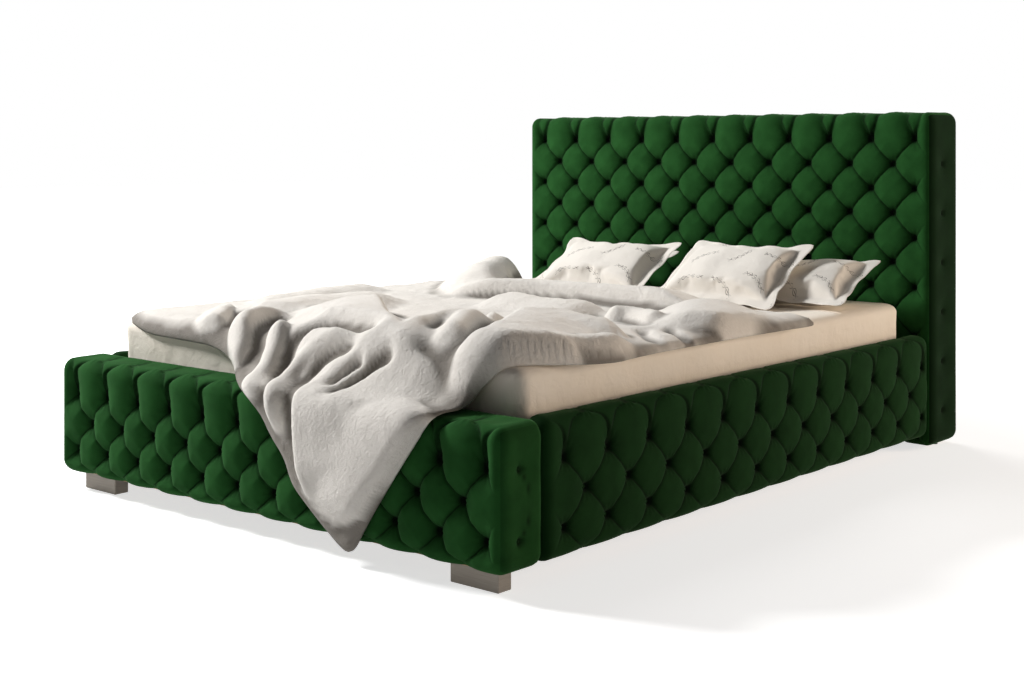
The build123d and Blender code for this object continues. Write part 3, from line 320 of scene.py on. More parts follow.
def pad_grid(low, high, columns, rows, margins, first_row, row_pitch):
    """A pad's grid: its points, their places in the lattice of buttons, and its quads."""
    m = PLEAT_STEPS
    half_deep = (high[2] - low[2]) / 2
    top_margin = high[1] - first_row
    pitch = (high[0] - low[0] - sum(margins)) / (columns - 1)
    last_row = first_row - (rows - 1) * row_pitch
    above = round(m * top_margin / (top_margin + half_deep))
    below = max(LEAST_BELOW, round(m * (last_row - low[1]) / row_pitch))
    side = [max(LEAST_ASIDE, round(2 * m * margin / pitch)) for margin in margins]
    x = steps(low[0], (low[0] + margins[0], side[0]), (high[0] - margins[1], (columns - 1) * 2 * m),
              (high[0], side[1]))
    z = steps(low[1], (last_row, below), (first_row, (rows - 1) * m), (high[1], above))
    y = steps(low[2], (low[2] + half_deep, m - above), (high[2], m - above))
    column_at = (np.arange(len(x)) - side[0]) / (2 * m)
    row_at = (len(z) - 1 - np.arange(len(z)) - above) / m
    quads = block_faces(len(x), len(z), len(y), PAD_SIDES)
    keys = (quads[..., 0] * len(z) + quads[..., 1]) * len(y) + quads[..., 2]
    unique, index = np.unique(keys, return_inverse=True)
    i, j, t = unique // (len(z) * len(y)), unique // len(y) % len(z), unique % len(y)
    # on the top, the bottom and the ends the lattice goes on round the edge
    row = np.where(j == len(z) - 1, row_at[j] - t / m, np.where(j == 0, row_at[j] + t / m, row_at[j]))
    ends = (i == 0, i == len(x) - 1)
    column = np.where(ends[0], column_at[0] - t / (2 * m),
                      np.where(ends[1], column_at[-1] + t / (2 * m), column_at[i]))
    sharp = np.stack([x[i], z[j], y[t]], axis=1)
    front, back = EDGE_RADIUS, min(BACK_RADIUS, half_deep / 2)
    spot, out = rounded(sharp, np.array(low), np.array(high), np.array([front, front, front]),
                        np.array([front, front, back]))
    ring = [(a, 0) for a in range(len(x))] + [(len(x) - 1, b) for b in range(1, len(z))]
    ring += [(a, len(z) - 1) for a in range(len(x) - 2, -1, -1)]
    ring += [(0, b) for b in range(len(z) - 2, 0, -1)]
    ring_keys = [(a * len(z) + b) * len(y) + len(y) - 1 for a, b in ring]
    return SimpleNamespace(
        pitch=pitch, middle=low[2] + half_deep, spot=spot, out=out, sharp=sharp, row=row, column=column,
        lowest=row_at[0], ends=ends, quads=index.reshape(keys.shape),
        back=np.searchsorted(unique, ring_keys)[::-1].tolist())


def split_quads(quads, column, row):
    """Two triangles a quad, split along the nearest pleat's direction."""
    a = column[quads] - row[quads] / 2
    b = column[quads] + row[quads] / 2
    near_a = np.abs(a - np.round(a)).min(axis=1)
    near_b = np.abs(b - np.round(b)).min(axis=1)
    a_run = np.abs(a[:, 0] - a[:, 2]) < np.abs(a[:, 1] - a[:, 3])
    first = np.where(near_a <= near_b, a_run, ~a_run)
    turned = np.where(first[:, None], quads, np.roll(quads, -1, axis=1))
    return np.concatenate([turned[:, [0, 1, 2]], turned[:, [0, 2, 3]]])


print("a pad's grid covers its", ", ".join(PAD_SIDES))

# %% [markdown]
# The relief of a pad is the lattice's depth, faded out where the cover runs past the last
# buttons. The same numbers give the shade painted into pleats and holes. The two ends of a pad
# have a few buttons of their own, in shallow dips, and on the footboard one slack fold, with shade
# painted along it, hangs between them.

# %% Relief of a pad
PAST_COLUMNS, PAST_TOP = 0.36, 0.5      # in columns and rows, over which the pleats fade out
LOW_EASE, LOW_FROM, LOW_ROWS = 0.55, 0.6, 0.5   # how much they ease below the lowest buttons, and where
UNDER_ROWS = 0.35               # in rows, over which they fade on the underside
HOLE_PAST = 0.1                 # in columns, past which there is no hole
# painted shade: how it grows with depth, and how much goes on pleat lines and holes
CREASE_POWER = 2.2              # how fast the dark grows with the depth
LINE_DARK = 0.8                 # of the line that a pleat shows
HOLE_DARK = 1.8
END_DIP, END_DIP_RADIUS = 0.3, 0.045    # share of the pit's depth, and radius, of a dip in an end
END_HOLE_RADIUS = 0.009
# the slack fold's dark is painted shade along it
BOW_WIDTH, BOW_DIP, BOW_DARK = 0.004, 0.15, 0.7     # of the slack fold


def face_relief(grid, columns, rows, row_pitch, gusset):
    """Depth, hole, gathers and painted shade of the buttoned faces."""
    column, row, on_end = grid.column, grid.row, grid.ends[0] | grid.ends[1]
    past = np.maximum(-column, column - (columns - 1))
    fade = 1 - smooth(past / PAST_COLUMNS)
    fade *= 1 - smooth((-1 - row) / PAST_TOP)
    fade *= 1 - LOW_EASE * smooth((row - rows + LOW_FROM) / LOW_ROWS)
    fade *= 1 - smooth((row - grid.lowest) / UNDER_ROWS)
    fade = np.where(on_end, 0, fade)
    gathers, hole = button_marks(column, row, grid.pitch, row_pitch)
    a, b = pleat_fractions(column, row)
    above, beside = petals_above(column, row, gusset)
    sunk = np.where(row < 0, above, cover_depth(a, b)) * fade
    a, b = (np.where(row < 0, beside, fraction) for fraction in (a, b))
    hole = hole * (1 - smooth(past / HOLE_PAST)) * (row < rows - 0.5) * (row > -0.5) * ~on_end
    # painted shade: deep places, holes and pleat lines are mixed towards near black
    crease_and_painted_shade = np.maximum(np.clip(sunk, 0, 1) ** CREASE_POWER, hole)
    crease_and_painted_shade = np.maximum(crease_and_painted_shade, LINE_DARK * pleat_line(a, b, grid.pitch, row_pitch) * fade)
    return sunk, hole, gathers * fade, crease_and_painted_shade


def end_relief(grid, relief, heights, end_bow):
    """The same with the dips, holes and the slack fold of the two ends added, with shade painted in the
    holes and along the fold.
    """
    sunk, hole, gathers, crease_and_painted_shade = relief
    z, y = grid.sharp[:, 1], grid.sharp[:, 2]
    for at_end in grid.ends:
        for height in heights:
            away = np.hypot(z - height, y - grid.middle)
            dip = END_DIP * np.exp(-((away / END_DIP_RADIUS) ** 2))
            sunk = np.where(at_end, np.maximum(sunk, dip), sunk)
            hole = np.where(at_end, np.maximum(hole, np.exp(-((away / END_HOLE_RADIUS) ** 2))), hole)
        if end_bow:
            top, low = heights[0], heights[-1]
            share = np.clip((z - low) / (top - low), 0, 1)
            bow = grid.middle + end_bow * 4 * share * (1 - share)
            line = np.exp(-(((y - bow) / BOW_WIDTH) ** 2)) * (z < top) * (z > low)
            sunk = np.where(at_end, np.maximum(sunk, BOW_DIP * line), sunk)
            crease_and_painted_shade = np.where(at_end, np.maximum(crease_and_painted_shade, BOW_DARK * line), crease_and_painted_shade)
    return sunk, hole, gathers, np.maximum(crease_and_painted_shade, np.minimum(HOLE_DARK * hole, 1))


print("end dips", round(END_DIP * PIT_DEPTH * 1000), "mm deep")

# %% Buttoned pads
BUTTON_SUNK = 0.002             # how far a button's middle stands out of its hole's bottom
BOARD_SHOWS = 0.0015            # boards stand this far out of their pads below and behind
BACK_COVER = 0.0035             # room for the cover on the headboard's back


def across_box(node, turn, lift, sink):
    """A node's box as (across, up, inward) corners, with its underside and back drawn in a little."""
    corners = np.array([turn @ np.array(corner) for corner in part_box(node)])
    return corners.min(0) + [0, lift, 0], corners.max(0) - [0, 0, sink]


def buttoned_pad(node, across_dir, sink, columns, rows, margins, first_row, row_pitch,
                 depth=PIT_DEPTH, gusset=0.0, end_rows=(), end_bow=0.0, nap_and_painted_shade=(0, 0)):
    """A node's pad with buttons on its front and its ends, and the seats of those buttons."""
    turn = np.array([across_dir, (0, 0, 1), Vector((0, 0, 1)).cross(Vector(across_dir))], float)
    low, high = across_box(node, turn, BOARD_SHOWS, sink)
    grid = pad_grid(low, high, columns, rows, margins, first_row, row_pitch)
    heights = [first_row - row * row_pitch for row in end_rows]
    relief = face_relief(grid, columns, rows, row_pitch, gusset)
    sunk, hole, gathers, crease_and_painted_shade = end_relief(grid, relief, heights, end_bow)
    # shade is painted over whole faces: first the share on the face, then on the ends
    crease_and_painted_shade = 1 - (1 - crease_and_painted_shade) * (1 - np.where(grid.ends[0] | grid.ends[1], nap_and_painted_shade[1], nap_and_painted_shade[0]))
    moved = grid.spot - grid.out * (sunk * depth + hole * HOLE_DEPTH + gathers * GATHER_DEPTH)[:, None]
    faces = split_quads(grid.quads, grid.column, grid.row).tolist() + [grid.back]
    pad = piece_from(node + "_velvet", moved @ turn, faces, VELVET)
    # the attribute carries the painted shade to the velvet
    marks = pad.data.attributes.new("crease_and_painted_shade", "FLOAT", "POINT")
    marks.data.foreach_set("value", np.clip(crease_and_painted_shade, 0, 1).astype(np.float32))
    buttons = []
    for row in range(rows):
        for column in range(columns - row % 2):
            across = low[0] + margins[0] + (column + row % 2 / 2) * grid.pitch
            inset = low[2] + (depth + HOLE_DEPTH - BUTTON_SUNK)
            buttons.append(((across, first_row - row * row_pitch, inset), (0, 0, -1)))
    for side, x_end in ((-1, low[0]), (1, high[0])):
        inset = END_DIP * depth + HOLE_DEPTH - BUTTON_SUNK
        buttons += [((x_end - side * inset, height, grid.middle), (side, 0, 0)) for height in heights]
    print(node, len(moved), "points,", len(buttons), "buttons, pitch", round(grid.pitch * 1000), "mm")
    return pad, [(np.array(spot) @ turn, np.array(way) @ turn) for spot, way in buttons]


low_rows = {"rows": 3, "first_row": 0.291, "row_pitch": 0.0835}     # on the footboard and the rails
# One pair of shares paints shade over a pad's face and over its ends: the rails and the headboard's ends
# get the most.
rail = {"columns": 12, "depth": 0.015, "nap_and_painted_shade": (0.62, 0.62), "sink": BOARD_SHOWS, **low_rows}
pads = {
    "headboard_pad": {"across_dir": (1, 0, 0), "sink": BACK_COVER, "columns": 11, "rows": 13,
                      "margins": (0.070, 0.070), "first_row": 1.060, "row_pitch": 0.0847,
                      "depth": 0.027, "gusset": 0.16, "end_rows": (1, 3, 5, 7, 9, 11), "nap_and_painted_shade": (0, 0.84)},
    "footboard_pad": {"across_dir": (1, 0, 0), "sink": 0, "columns": 12, "margins": (0.067, 0.067),
                      "end_rows": (0, 2), "end_bow": 0.028, "nap_and_painted_shade": (0, 0.3), **low_rows},
    "rail_pad_right": {"across_dir": (0, 1, 0), "margins": (0.087, 0.045), **rail},
    "rail_pad_left": {"across_dir": (0, -1, 0), "margins": (0.045, 0.087), **rail},
}
seats = []
for node, sizes in pads.items():
    pad, found = buttoned_pad(node, **sizes)
    seats += found
    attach(pad, "frame")
    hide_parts(node)

# %% [markdown]
# The buttons are small domes covered in the same velvet, one at each seat. They all share one
# shape, so Geometry Nodes puts an instance on each seat, turned to face out of the pad.

# %% Buttons
BUTTON_RADIUS = 0.0075
BUTTON_HEIGHT = 0.0035
DOME_SIDES, DOME_RINGS = 12, 6
BUTTON_SHADE = 0.8              # a button lies in the shade of its pit


def button_tree():
    """A dome on every seat, turned along the seat's "facing" attribute."""
    tree = bpy.data.node_groups.new("buttons_on_seats", "GeometryNodeTree")
    tree.interface.new_socket("Seats", in_out="INPUT", socket_type="NodeSocketGeometry")
    tree.interface.new_socket("Button radius", in_out="INPUT", socket_type="NodeSocketFloat")
    tree.interface.new_socket("Button height", in_out="INPUT", socket_type="NodeSocketFloat")
    tree.interface.new_socket("Buttons", in_out="OUTPUT", socket_type="NodeSocketGeometry")
    given = put(tree, "NodeGroupInput").outputs
    dome = put(tree, "GeometryNodeMeshUVSphere", {
        "Segments": DOME_SIDES, "Rings": DOME_RINGS, "Radius": 1.0})
    size = put(tree, "ShaderNodeCombineXYZ", {
        "X": given["Button radius"], "Y": given["Button radius"], "Z": given["Button height"]})
    facing = put(tree, "GeometryNodeInputNamedAttribute", {"Name": "facing"},
                 data_type="FLOAT_VECTOR")
    turn = put(tree, "FunctionNodeAlignRotationToVector", {"Vector": facing.outputs["Attribute"]},
               axis="Z")
    placed = put(tree, "GeometryNodeInstanceOnPoints", {
        "Points": given["Seats"], "Instance": dome.outputs["Mesh"],
        "Rotation": turn.outputs["Rotation"], "Scale": size.outputs["Vector"]})
    real = put(tree, "GeometryNodeRealizeInstances", {"Geometry": placed.outputs["Instances"]})
    round_off = put(tree, "GeometryNodeSetShadeSmooth", {"Geometry": real.outputs["Geometry"]})
    covered = put(tree, "GeometryNodeSetMaterial", {"Geometry": round_off.outputs["Geometry"],
                                                    "Material": VELVET})
    put(tree, "NodeGroupOutput", {"Buttons": covered.outputs["Geometry"]})
    return tree


def made_by(tree, name, start, values):
    """Runs a node tree on a start mesh and keeps the result as a plain mesh object."""
    maker = bpy.data.objects.new("maker", start)
    COLLECTION.objects.link(maker)
    modifier = maker.modifiers.new("nodes", "NODES")
    modifier.node_group = tree
    sockets = {s.name: s.identifier for s in tree.interface.items_tree if s.in_out == "INPUT"}
    for label, value in values.items():
        modifier[sockets[label]] = value
    graph = bpy.context.evaluated_depsgraph_get()
    mesh = bpy.data.meshes.new_from_object(maker.evaluated_get(graph), depsgraph=graph)
    bpy.data.objects.remove(maker)
    mesh.name = name
    piece = bpy.data.objects.new(name, mesh)
    COLLECTION.objects.link(piece)
    return piece


seat_mesh = bpy.data.meshes.new("button_seats")
seat_mesh.from_pydata([spot.tolist() for spot, _ in seats], [], [])
facing = seat_mesh.attributes.new("facing", "FLOAT_VECTOR", "POINT")
facing.data.foreach_set("vector", np.array([way for _, way in seats], np.float32).ravel())
buttons = made_by(button_tree(), "velvet_buttons", seat_mesh,
                  {"Button radius": BUTTON_RADIUS, "Button height": BUTTON_HEIGHT})
# painted shade: every button is mixed most of the way towards near black
shade = buttons.data.attributes.new("crease_and_painted_shade", "FLOAT", "POINT")
shade.data.foreach_set("value", np.full(len(buttons.data.vertices), BUTTON_SHADE, np.float32))
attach(buttons, "frame")
print("buttons:", len(seats), "with", len(buttons.data.polygons), "faces")

# %% [markdown]
# The mattress is a foam block in a knitted cover, and shows only from below and at its hem.
# The fitted sheet is drawn over it with elastic: tight on the top, with slack that gathers
# into soft upright ripples on the sides, and a sewn dart at each corner. Both start from the
# same rounded block; the sheet leaves out the underside and gets its thickness last.

# %% Knit and cotton
def mattress_knit():
    """White polyester knit, quilted to foam in small diamonds: matt, with soft dimples."""
    material, tree, place = new_material("quilted_knit_cover")
    turned = put(tree, "ShaderNodeMapping", {"Vector": place, "Rotation": (0, 0, math.radians(45))})
    quilt = put(tree, "ShaderNodeTexVoronoi", {
        "Vector": turned.outputs["Vector"], "Scale": per_metre(70), "Randomness": 0.0},
        distance="CHEBYCHEV")
    # knit loops of about a millimetre are drawn at 3 mm so that they show
    knit = put(tree, "ShaderNodeTexNoise", {"Vector": place, "Scale": per_metre(3), "Detail": 3.0})
    shade = put(tree, "ShaderNodeMix", {"A": linear("#D9D5CC"), "B": linear("#ECE9E2"),
                                        "Factor": knit.outputs["Fac"]}, data_type="RGBA")
    dents = put(tree, "ShaderNodeBump", {"Height": quilt.outputs["Distance"], "Strength": 0.6,
                                         "Distance": 0.008}, invert=True)
    loops = put(tree, "ShaderNodeBump", {"Height": knit.outputs["Fac"], "Strength": 0.3,
                                         "Distance": 0.001, "Normal": dents.outputs["Normal"]})
    shader = put(tree, "ShaderNodeBsdfPrincipled", {
        "Base Color": shade.outputs["Result"], "Roughness": 0.9, "Specular IOR Level": 0.2,
        "Normal": loops.outputs["Normal"]})
    put(tree, "ShaderNodeOutputMaterial", {"Surface": shader.outputs["BSDF"]})
    return material


def sheet_cotton():
    """Beige percale cotton: a fine flat weave with a very soft sheen and faint creases."""
    material, tree, place = new_material("beige_percale_cotton")
    cloud = put(tree, "ShaderNodeTexNoise", {"Vector": place, "Scale": per_metre(140), "Detail": 3.0})
    # threads of a quarter of a millimetre are too fine to show, so they are drawn at 2 mm
    weave = put(tree, "ShaderNodeTexNoise", {"Vector": place, "Scale": per_metre(2), "Detail": 2.0})
    crinkle = put(tree, "ShaderNodeTexNoise", {
        "Vector": place, "Scale": per_metre(26), "Detail": 5.0, "Distortion": 0.6})
    tone = put(tree, "ShaderNodeMix", {"A": linear("#EFE4D5"), "B": linear("#F6EEE2"),
                                       "Factor": cloud.outputs["Fac"]}, data_type="RGBA")
    soft = put(tree, "ShaderNodeBump", {"Height": crinkle.outputs["Fac"], "Strength": 0.35,
                                        "Distance": 0.006})
    threads = put(tree, "ShaderNodeBump", {"Height": weave.outputs["Fac"], "Strength": 0.2,
                                           "Distance": 0.0008, "Normal": soft.outputs["Normal"]})
    shader = put(tree, "ShaderNodeBsdfPrincipled", {
        "Base Color": tone.outputs["Result"], "Roughness": 0.88, "Specular IOR Level": 0.2,
        "Sheen Weight": 0.12, "Sheen Roughness": 0.5, "Normal": threads.outputs["Normal"]})
    put(tree, "ShaderNodeOutputMaterial", {"Surface": shader.outputs["BSDF"]})
    return material


KNIT = mattress_knit()
PERCALE = sheet_cotton()
print("materials:", KNIT.name, PERCALE.name)

# %% Rounded cloth blocks
CORNER_RADIUS = 0.042
TOP_RADIUS = 0.026
CLOTH_RADII = np.array([CORNER_RADIUS, TOP_RADIUS, CORNER_RADIUS])
LEAST_STEPS = 4
SEED_STEP = (3.7, 1.9, 5.3)      # how far a seed moves the noise


def ripples(points, size, seed):
    """Smooth noise between -1 and 1 at points, with features of about the given size."""
    shift = Vector([seed * step for step in SEED_STEP])
    return np.array([noise.noise(Vector(p) / size + shift) for p in points])


def cloth_block(name, low, high, step, sides, material, swell):
    """A rounded block's chosen sides as one mesh, pushed outwards by swell(points, outward)."""
    lines = [np.linspace(a, b, max(LEAST_STEPS, round((b - a) / step)) + 1) for a, b in zip(low, high)]
    counts = [len(line) for line in lines]
    quads = block_faces(*counts, sides)
    keys = (quads[..., 0] * counts[1] + quads[..., 1]) * counts[2] + quads[..., 2]
    unique, index = np.unique(keys, return_inverse=True)
    places = (unique // (counts[1] * counts[2]), unique // counts[2] % counts[1], unique % counts[2])
    sharp = np.stack([line[place] for line, place in zip(lines, places)], axis=1)
    spot, out = rounded(sharp, low, high, CLOTH_RADII, CLOTH_RADII)
    # from (across, up, inward) back to the frame's x, y and z
    spot, out = spot[:, [0, 2, 1]], out[:, [0, 2, 1]]
    faces = index.reshape(keys.shape).tolist()
    return piece_from(name, spot + out * swell(spot, out)[:, None], faces, material)


def flat_box(node):
    """A node's box as (across, up, inward) corners."""
    low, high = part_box(node)
    return np.array(low)[[0, 2, 1]], np.array(high)[[0, 2, 1]]


print("cloth corners of", CORNER_RADIUS, "m")

# %% Mattress
MATTRESS_STEP = 0.02
MATTRESS_ROOM = 0.0006          # kept free on all sides, so that the sheet lies outside
COVER_IN = 0.001
SEAM_UP, SEAM_HALF, SEAM_IN = 0.020, 0.004, 0.003   # height, half width and depth of the lower seam


def mattress_swell(points, out):
    """The lower seam, drawn in along the sides."""
    seam = np.exp(-(((points[:, 2] - points[:, 2].min() - SEAM_UP) / SEAM_HALF) ** 2))
    return -SEAM_IN * seam * (1 - np.abs(out[:, 2])) - COVER_IN


mattress_low, mattress_high = flat_box("mattress")
mattress = cloth_block("mattress_block", mattress_low + MATTRESS_ROOM, mattress_high - MATTRESS_ROOM,
                       MATTRESS_STEP, ("front", "back", "left", "right", "top", "bottom"), KNIT,
                       mattress_swell)
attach(mattress, "lift_base")
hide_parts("mattress")
print("mattress:", len(mattress.data.polygons), "faces")

# %% Fitted sheet
SHEET_STEP = 0.011
SHEET_THICK = 0.0012
SHEET_OUT = 0.0016              # how far it stands off its solid
SIDE_RIPPLES = ((0.11, 0.0022, 1), (0.045, 0.0011, 2))      # size, depth and seed
HEM_RIPPLE = (0.022, 0.0012, 3)
UPRIGHT = np.array([1, 1, 0.25])        # ripples are four times as high as wide
DART_RADIUS, DART_DEPTH = 0.024, 0.004
FAN_WAVE, FAN_REACH, FAN_DEPTH = 0.0065, 0.09, 0.0009       # small creases beside a dart
# shares of the drop from which these grow, and over which they grow
RIPPLE_OVER = 0.35
HEM_FROM, HEM_OVER = 0.6, 0.4
DART_FROM, DART_OVER, FAN_OVER = 0.1, 0.3, 0.5
sheet_low, sheet_high = flat_box("fitted_sheet")
side_drop = sheet_high[1] - sheet_low[1]


def sheet_swell(points, out):
    """Upright ripples on the sides, strongest low down, and a dart at each corner."""
    side = 1 - np.abs(out[:, 2])
    drop = (sheet_high[1] - points[:, 2]) / side_drop
    upright = points * UPRIGHT
    wave = sum(ripples(upright, size, seed) * depth for size, depth, seed in SIDE_RIPPLES)
    size, depth, seed = HEM_RIPPLE
    hem = ripples(upright, size, seed) * depth * smooth((drop - HEM_FROM) / HEM_OVER)
    corner = np.hypot(np.abs(points[:, 0]) - sheet_high[0], np.minimum(
        np.abs(points[:, 1] - sheet_low[2]), np.abs(points[:, 1] - sheet_high[2])))
    dart = np.exp(-((corner / DART_RADIUS) ** 2)) * smooth((drop - DART_FROM) / DART_OVER)
    fan = np.cos(corner / FAN_WAVE) * np.exp(-((corner / FAN_REACH) ** 2))
    fan *= smooth((drop - DART_FROM) / FAN_OVER)
    wave = wave * smooth(drop / RIPPLE_OVER)
    return SHEET_OUT + side * (wave + hem - DART_DEPTH * dart + FAN_DEPTH * fan)


fitted_sheet = cloth_block("fitted_sheet_cotton", sheet_low, sheet_high, SHEET_STEP,
                           ("front", "back", "left", "right", "top"), PERCALE, sheet_swell)
thickness = fitted_sheet.modifiers.new("thickness", "SOLIDIFY")
thickness.thickness = SHEET_THICK
thickness.offset = -1
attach(fitted_sheet, "lift_base")
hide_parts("fitted_sheet")

# %% [markdown]
# The duvet is the hardest soft piece: one filled quilt that lies across the mattress, is
# bunched at the foot end, and hangs over the footboard in a tongue. A cloth simulation would
# fold it by chance; here its folds have to lie where they are seen. So it is laid out flat
# first, in a plan whose second coordinate runs along the cloth: from the head end over the
# mattress, down past its foot, across the footboard's top and down its front. In that plan the
# quilt has an outline, fold crests, each a line with a height and a width on either side, and
# tucks, lines along which the cloth is pulled in. Laying the plan back over the bed bends
# everything with it. An attribute marks what lies deep between folds, where shade is painted.

# %% Linen
FOLD_SHADE = 0.8                # how far the linen goes over to its shaded colour in a fold


def duvet_linen():
    """Washed linen, off-white: matt, with slubs in the thread and a fine all-over crinkle."""
    material, tree, place = new_material("washed_linen")
    slub = put(tree, "ShaderNodeTexNoise", {"Vector": place, "Scale": per_metre(9), "Detail": 3.0})
    # threads of about half a millimetre are too fine to show, so they are drawn at 1.6 mm
    weave = put(tree, "ShaderNodeTexNoise", {"Vector": place, "Scale": per_metre(1.6), "Detail": 2.0})
    crinkle = put(tree, "ShaderNodeTexNoise", {
        "Vector": place, "Scale": per_metre(16), "Detail": 6.0, "Roughness": 0.62, "Distortion": 1.1})
    tone = put(tree, "ShaderNodeMix", {"A": linear("#E2DCD4"), "B": linear("#EEE9E2"),
                                       "Factor": slub.outputs["Fac"]}, data_type="RGBA")
    # cloth deep in a fold sees little but other cloth, so it is drawn darker there
    painted_fold_shade = put(tree, "ShaderNodeAttribute", attribute_name="painted_fold_shade")
    held = put(tree, "ShaderNodeMath", {0: painted_fold_shade.outputs["Fac"], 1: FOLD_SHADE}, operation="MULTIPLY")
    folded = put(tree, "ShaderNodeMix", {"A": tone.outputs["Result"], "B": linear("#5C544A"),
                                         "Factor": held.outputs["Value"]}, data_type="RGBA")
    washed = put(tree, "ShaderNodeBump", {"Height": crinkle.outputs["Fac"], "Strength": 0.6,
                                          "Distance": 0.006})
    threads = put(tree, "ShaderNodeBump", {"Height": weave.outputs["Fac"], "Strength": 0.25,
                                           "Distance": 0.0008, "Normal": washed.outputs["Normal"]})
    shader = put(tree, "ShaderNodeBsdfPrincipled", {
        "Base Color": folded.outputs["Result"], "Roughness": 0.92, "Specular IOR Level": 0.15,
        "Sheen Weight": 0.08, "Sheen Roughness": 0.6, "Normal": threads.outputs["Normal"]})
    put(tree, "ShaderNodeOutputMaterial", {"Surface": shader.outputs["BSDF"]})
    return material


LINEN = duvet_linen()
print("material:", LINEN.name)

# %% The way along the bed
PLAN_HEAD = 0.80                # y where the plan starts, at the head end
REST_AIR = 0.0025               # between the sheet and what lies on it
TOP_AIR, FRONT_AIR = 0.006, 0.008       # between the footboard and the cloth
WAY_POINTS = 1200
WAY_SOFTEN = 9                  # in points, of the average that rounds the way's corners
TURN_EXTRA = 0.02               # how far before and after the bends the folds start to turn
rest_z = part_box("fitted_sheet")[1].z + REST_AIR
foot_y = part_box("mattress")[0].y
board_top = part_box("footboard_pad")[1].z + TOP_AIR
board_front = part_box("footboard_pad")[0].y - FRONT_AIR
# stops along the way as (y, z)
way = np.array([
    (PLAN_HEAD, rest_z), (foot_y + 0.037, rest_z), (foot_y + 0.012, rest_z - 0.004),
    (foot_y - 0.006, rest_z - 0.018), (foot_y - 0.023, rest_z - 0.048),
    (foot_y - 0.050, board_top + 0.014), (foot_y - 0.083, board_top + 0.001),
    (board_front + 0.046, board_top), (board_front + 0.024, board_top - 0.005),
    (board_front + 0.008, board_top - 0.018), (board_front, board_top - 0.044),
    (board_front, 0.30), (board_front, 0.02)])
way_run = np.concatenate([[0], np.cumsum(np.linalg.norm(np.diff(way, axis=0), axis=1))])
fine_run = np.linspace(0, way_run[-1], WAY_POINTS)
fine_way = np.stack([np.interp(fine_run, way_run, way[:, k]) for k in (0, 1)], axis=1)
kernel = np.ones(WAY_SOFTEN) / WAY_SOFTEN
for k in (0, 1):
    padded_way = np.pad(fine_way[:, k], WAY_SOFTEN // 2, mode="edge")
    fine_way[:, k] = np.convolve(padded_way, kernel, mode="valid")
# folds stand up on the bed and stand out on the footboard, and turn evenly between the two
turn = np.interp(fine_run, (way_run[1] - TURN_EXTRA, way_run[10] + TURN_EXTRA), (0, np.pi / 2))
fine_out = np.column_stack([-np.sin(turn), np.cos(turn)])
print("the way along the cloth is", round(way_run[-1], 3), "m")

# %% Outline and folds, in the plan
# outline as (x, run along the cloth), round from the left head corner past the foot to the right
duvet_outline = [
    (-0.845, 0.07), (-0.855, 0.60), (-0.850, 1.20), (-0.840, 1.60), (-0.815, 1.80), (-0.660, 1.850),
    (-0.540, 1.853), (-0.420, 1.856), (-0.330, 1.860), (-0.240, 1.885), (-0.180, 1.925),
    (-0.060, 2.015), (0.010, 2.050), (0.070, 2.085), (0.110, 2.140), (0.165, 2.190), (0.190, 2.250),
    (0.240, 2.290), (0.310, 2.340), (0.390, 2.392), (0.420, 2.385), (0.460, 2.320), (0.525, 2.230),
    (0.585, 2.150), (0.680, 2.030), (0.690, 1.900), (0.735, 1.830), (0.795, 1.730), (0.868, 1.540),
    (0.850, 1.400), (0.845, 1.100), (0.850, 0.700), (0.862, 0.480), (0.800, 0.500), (0.560, 0.475),
    (0.320, 0.440), (0.050, 0.410), (-0.250, 0.385), (-0.450, 0.345), (-0.575, 0.260), (-0.610, 0.130),
    (-0.660, 0.070), (-0.740, 0.060)]
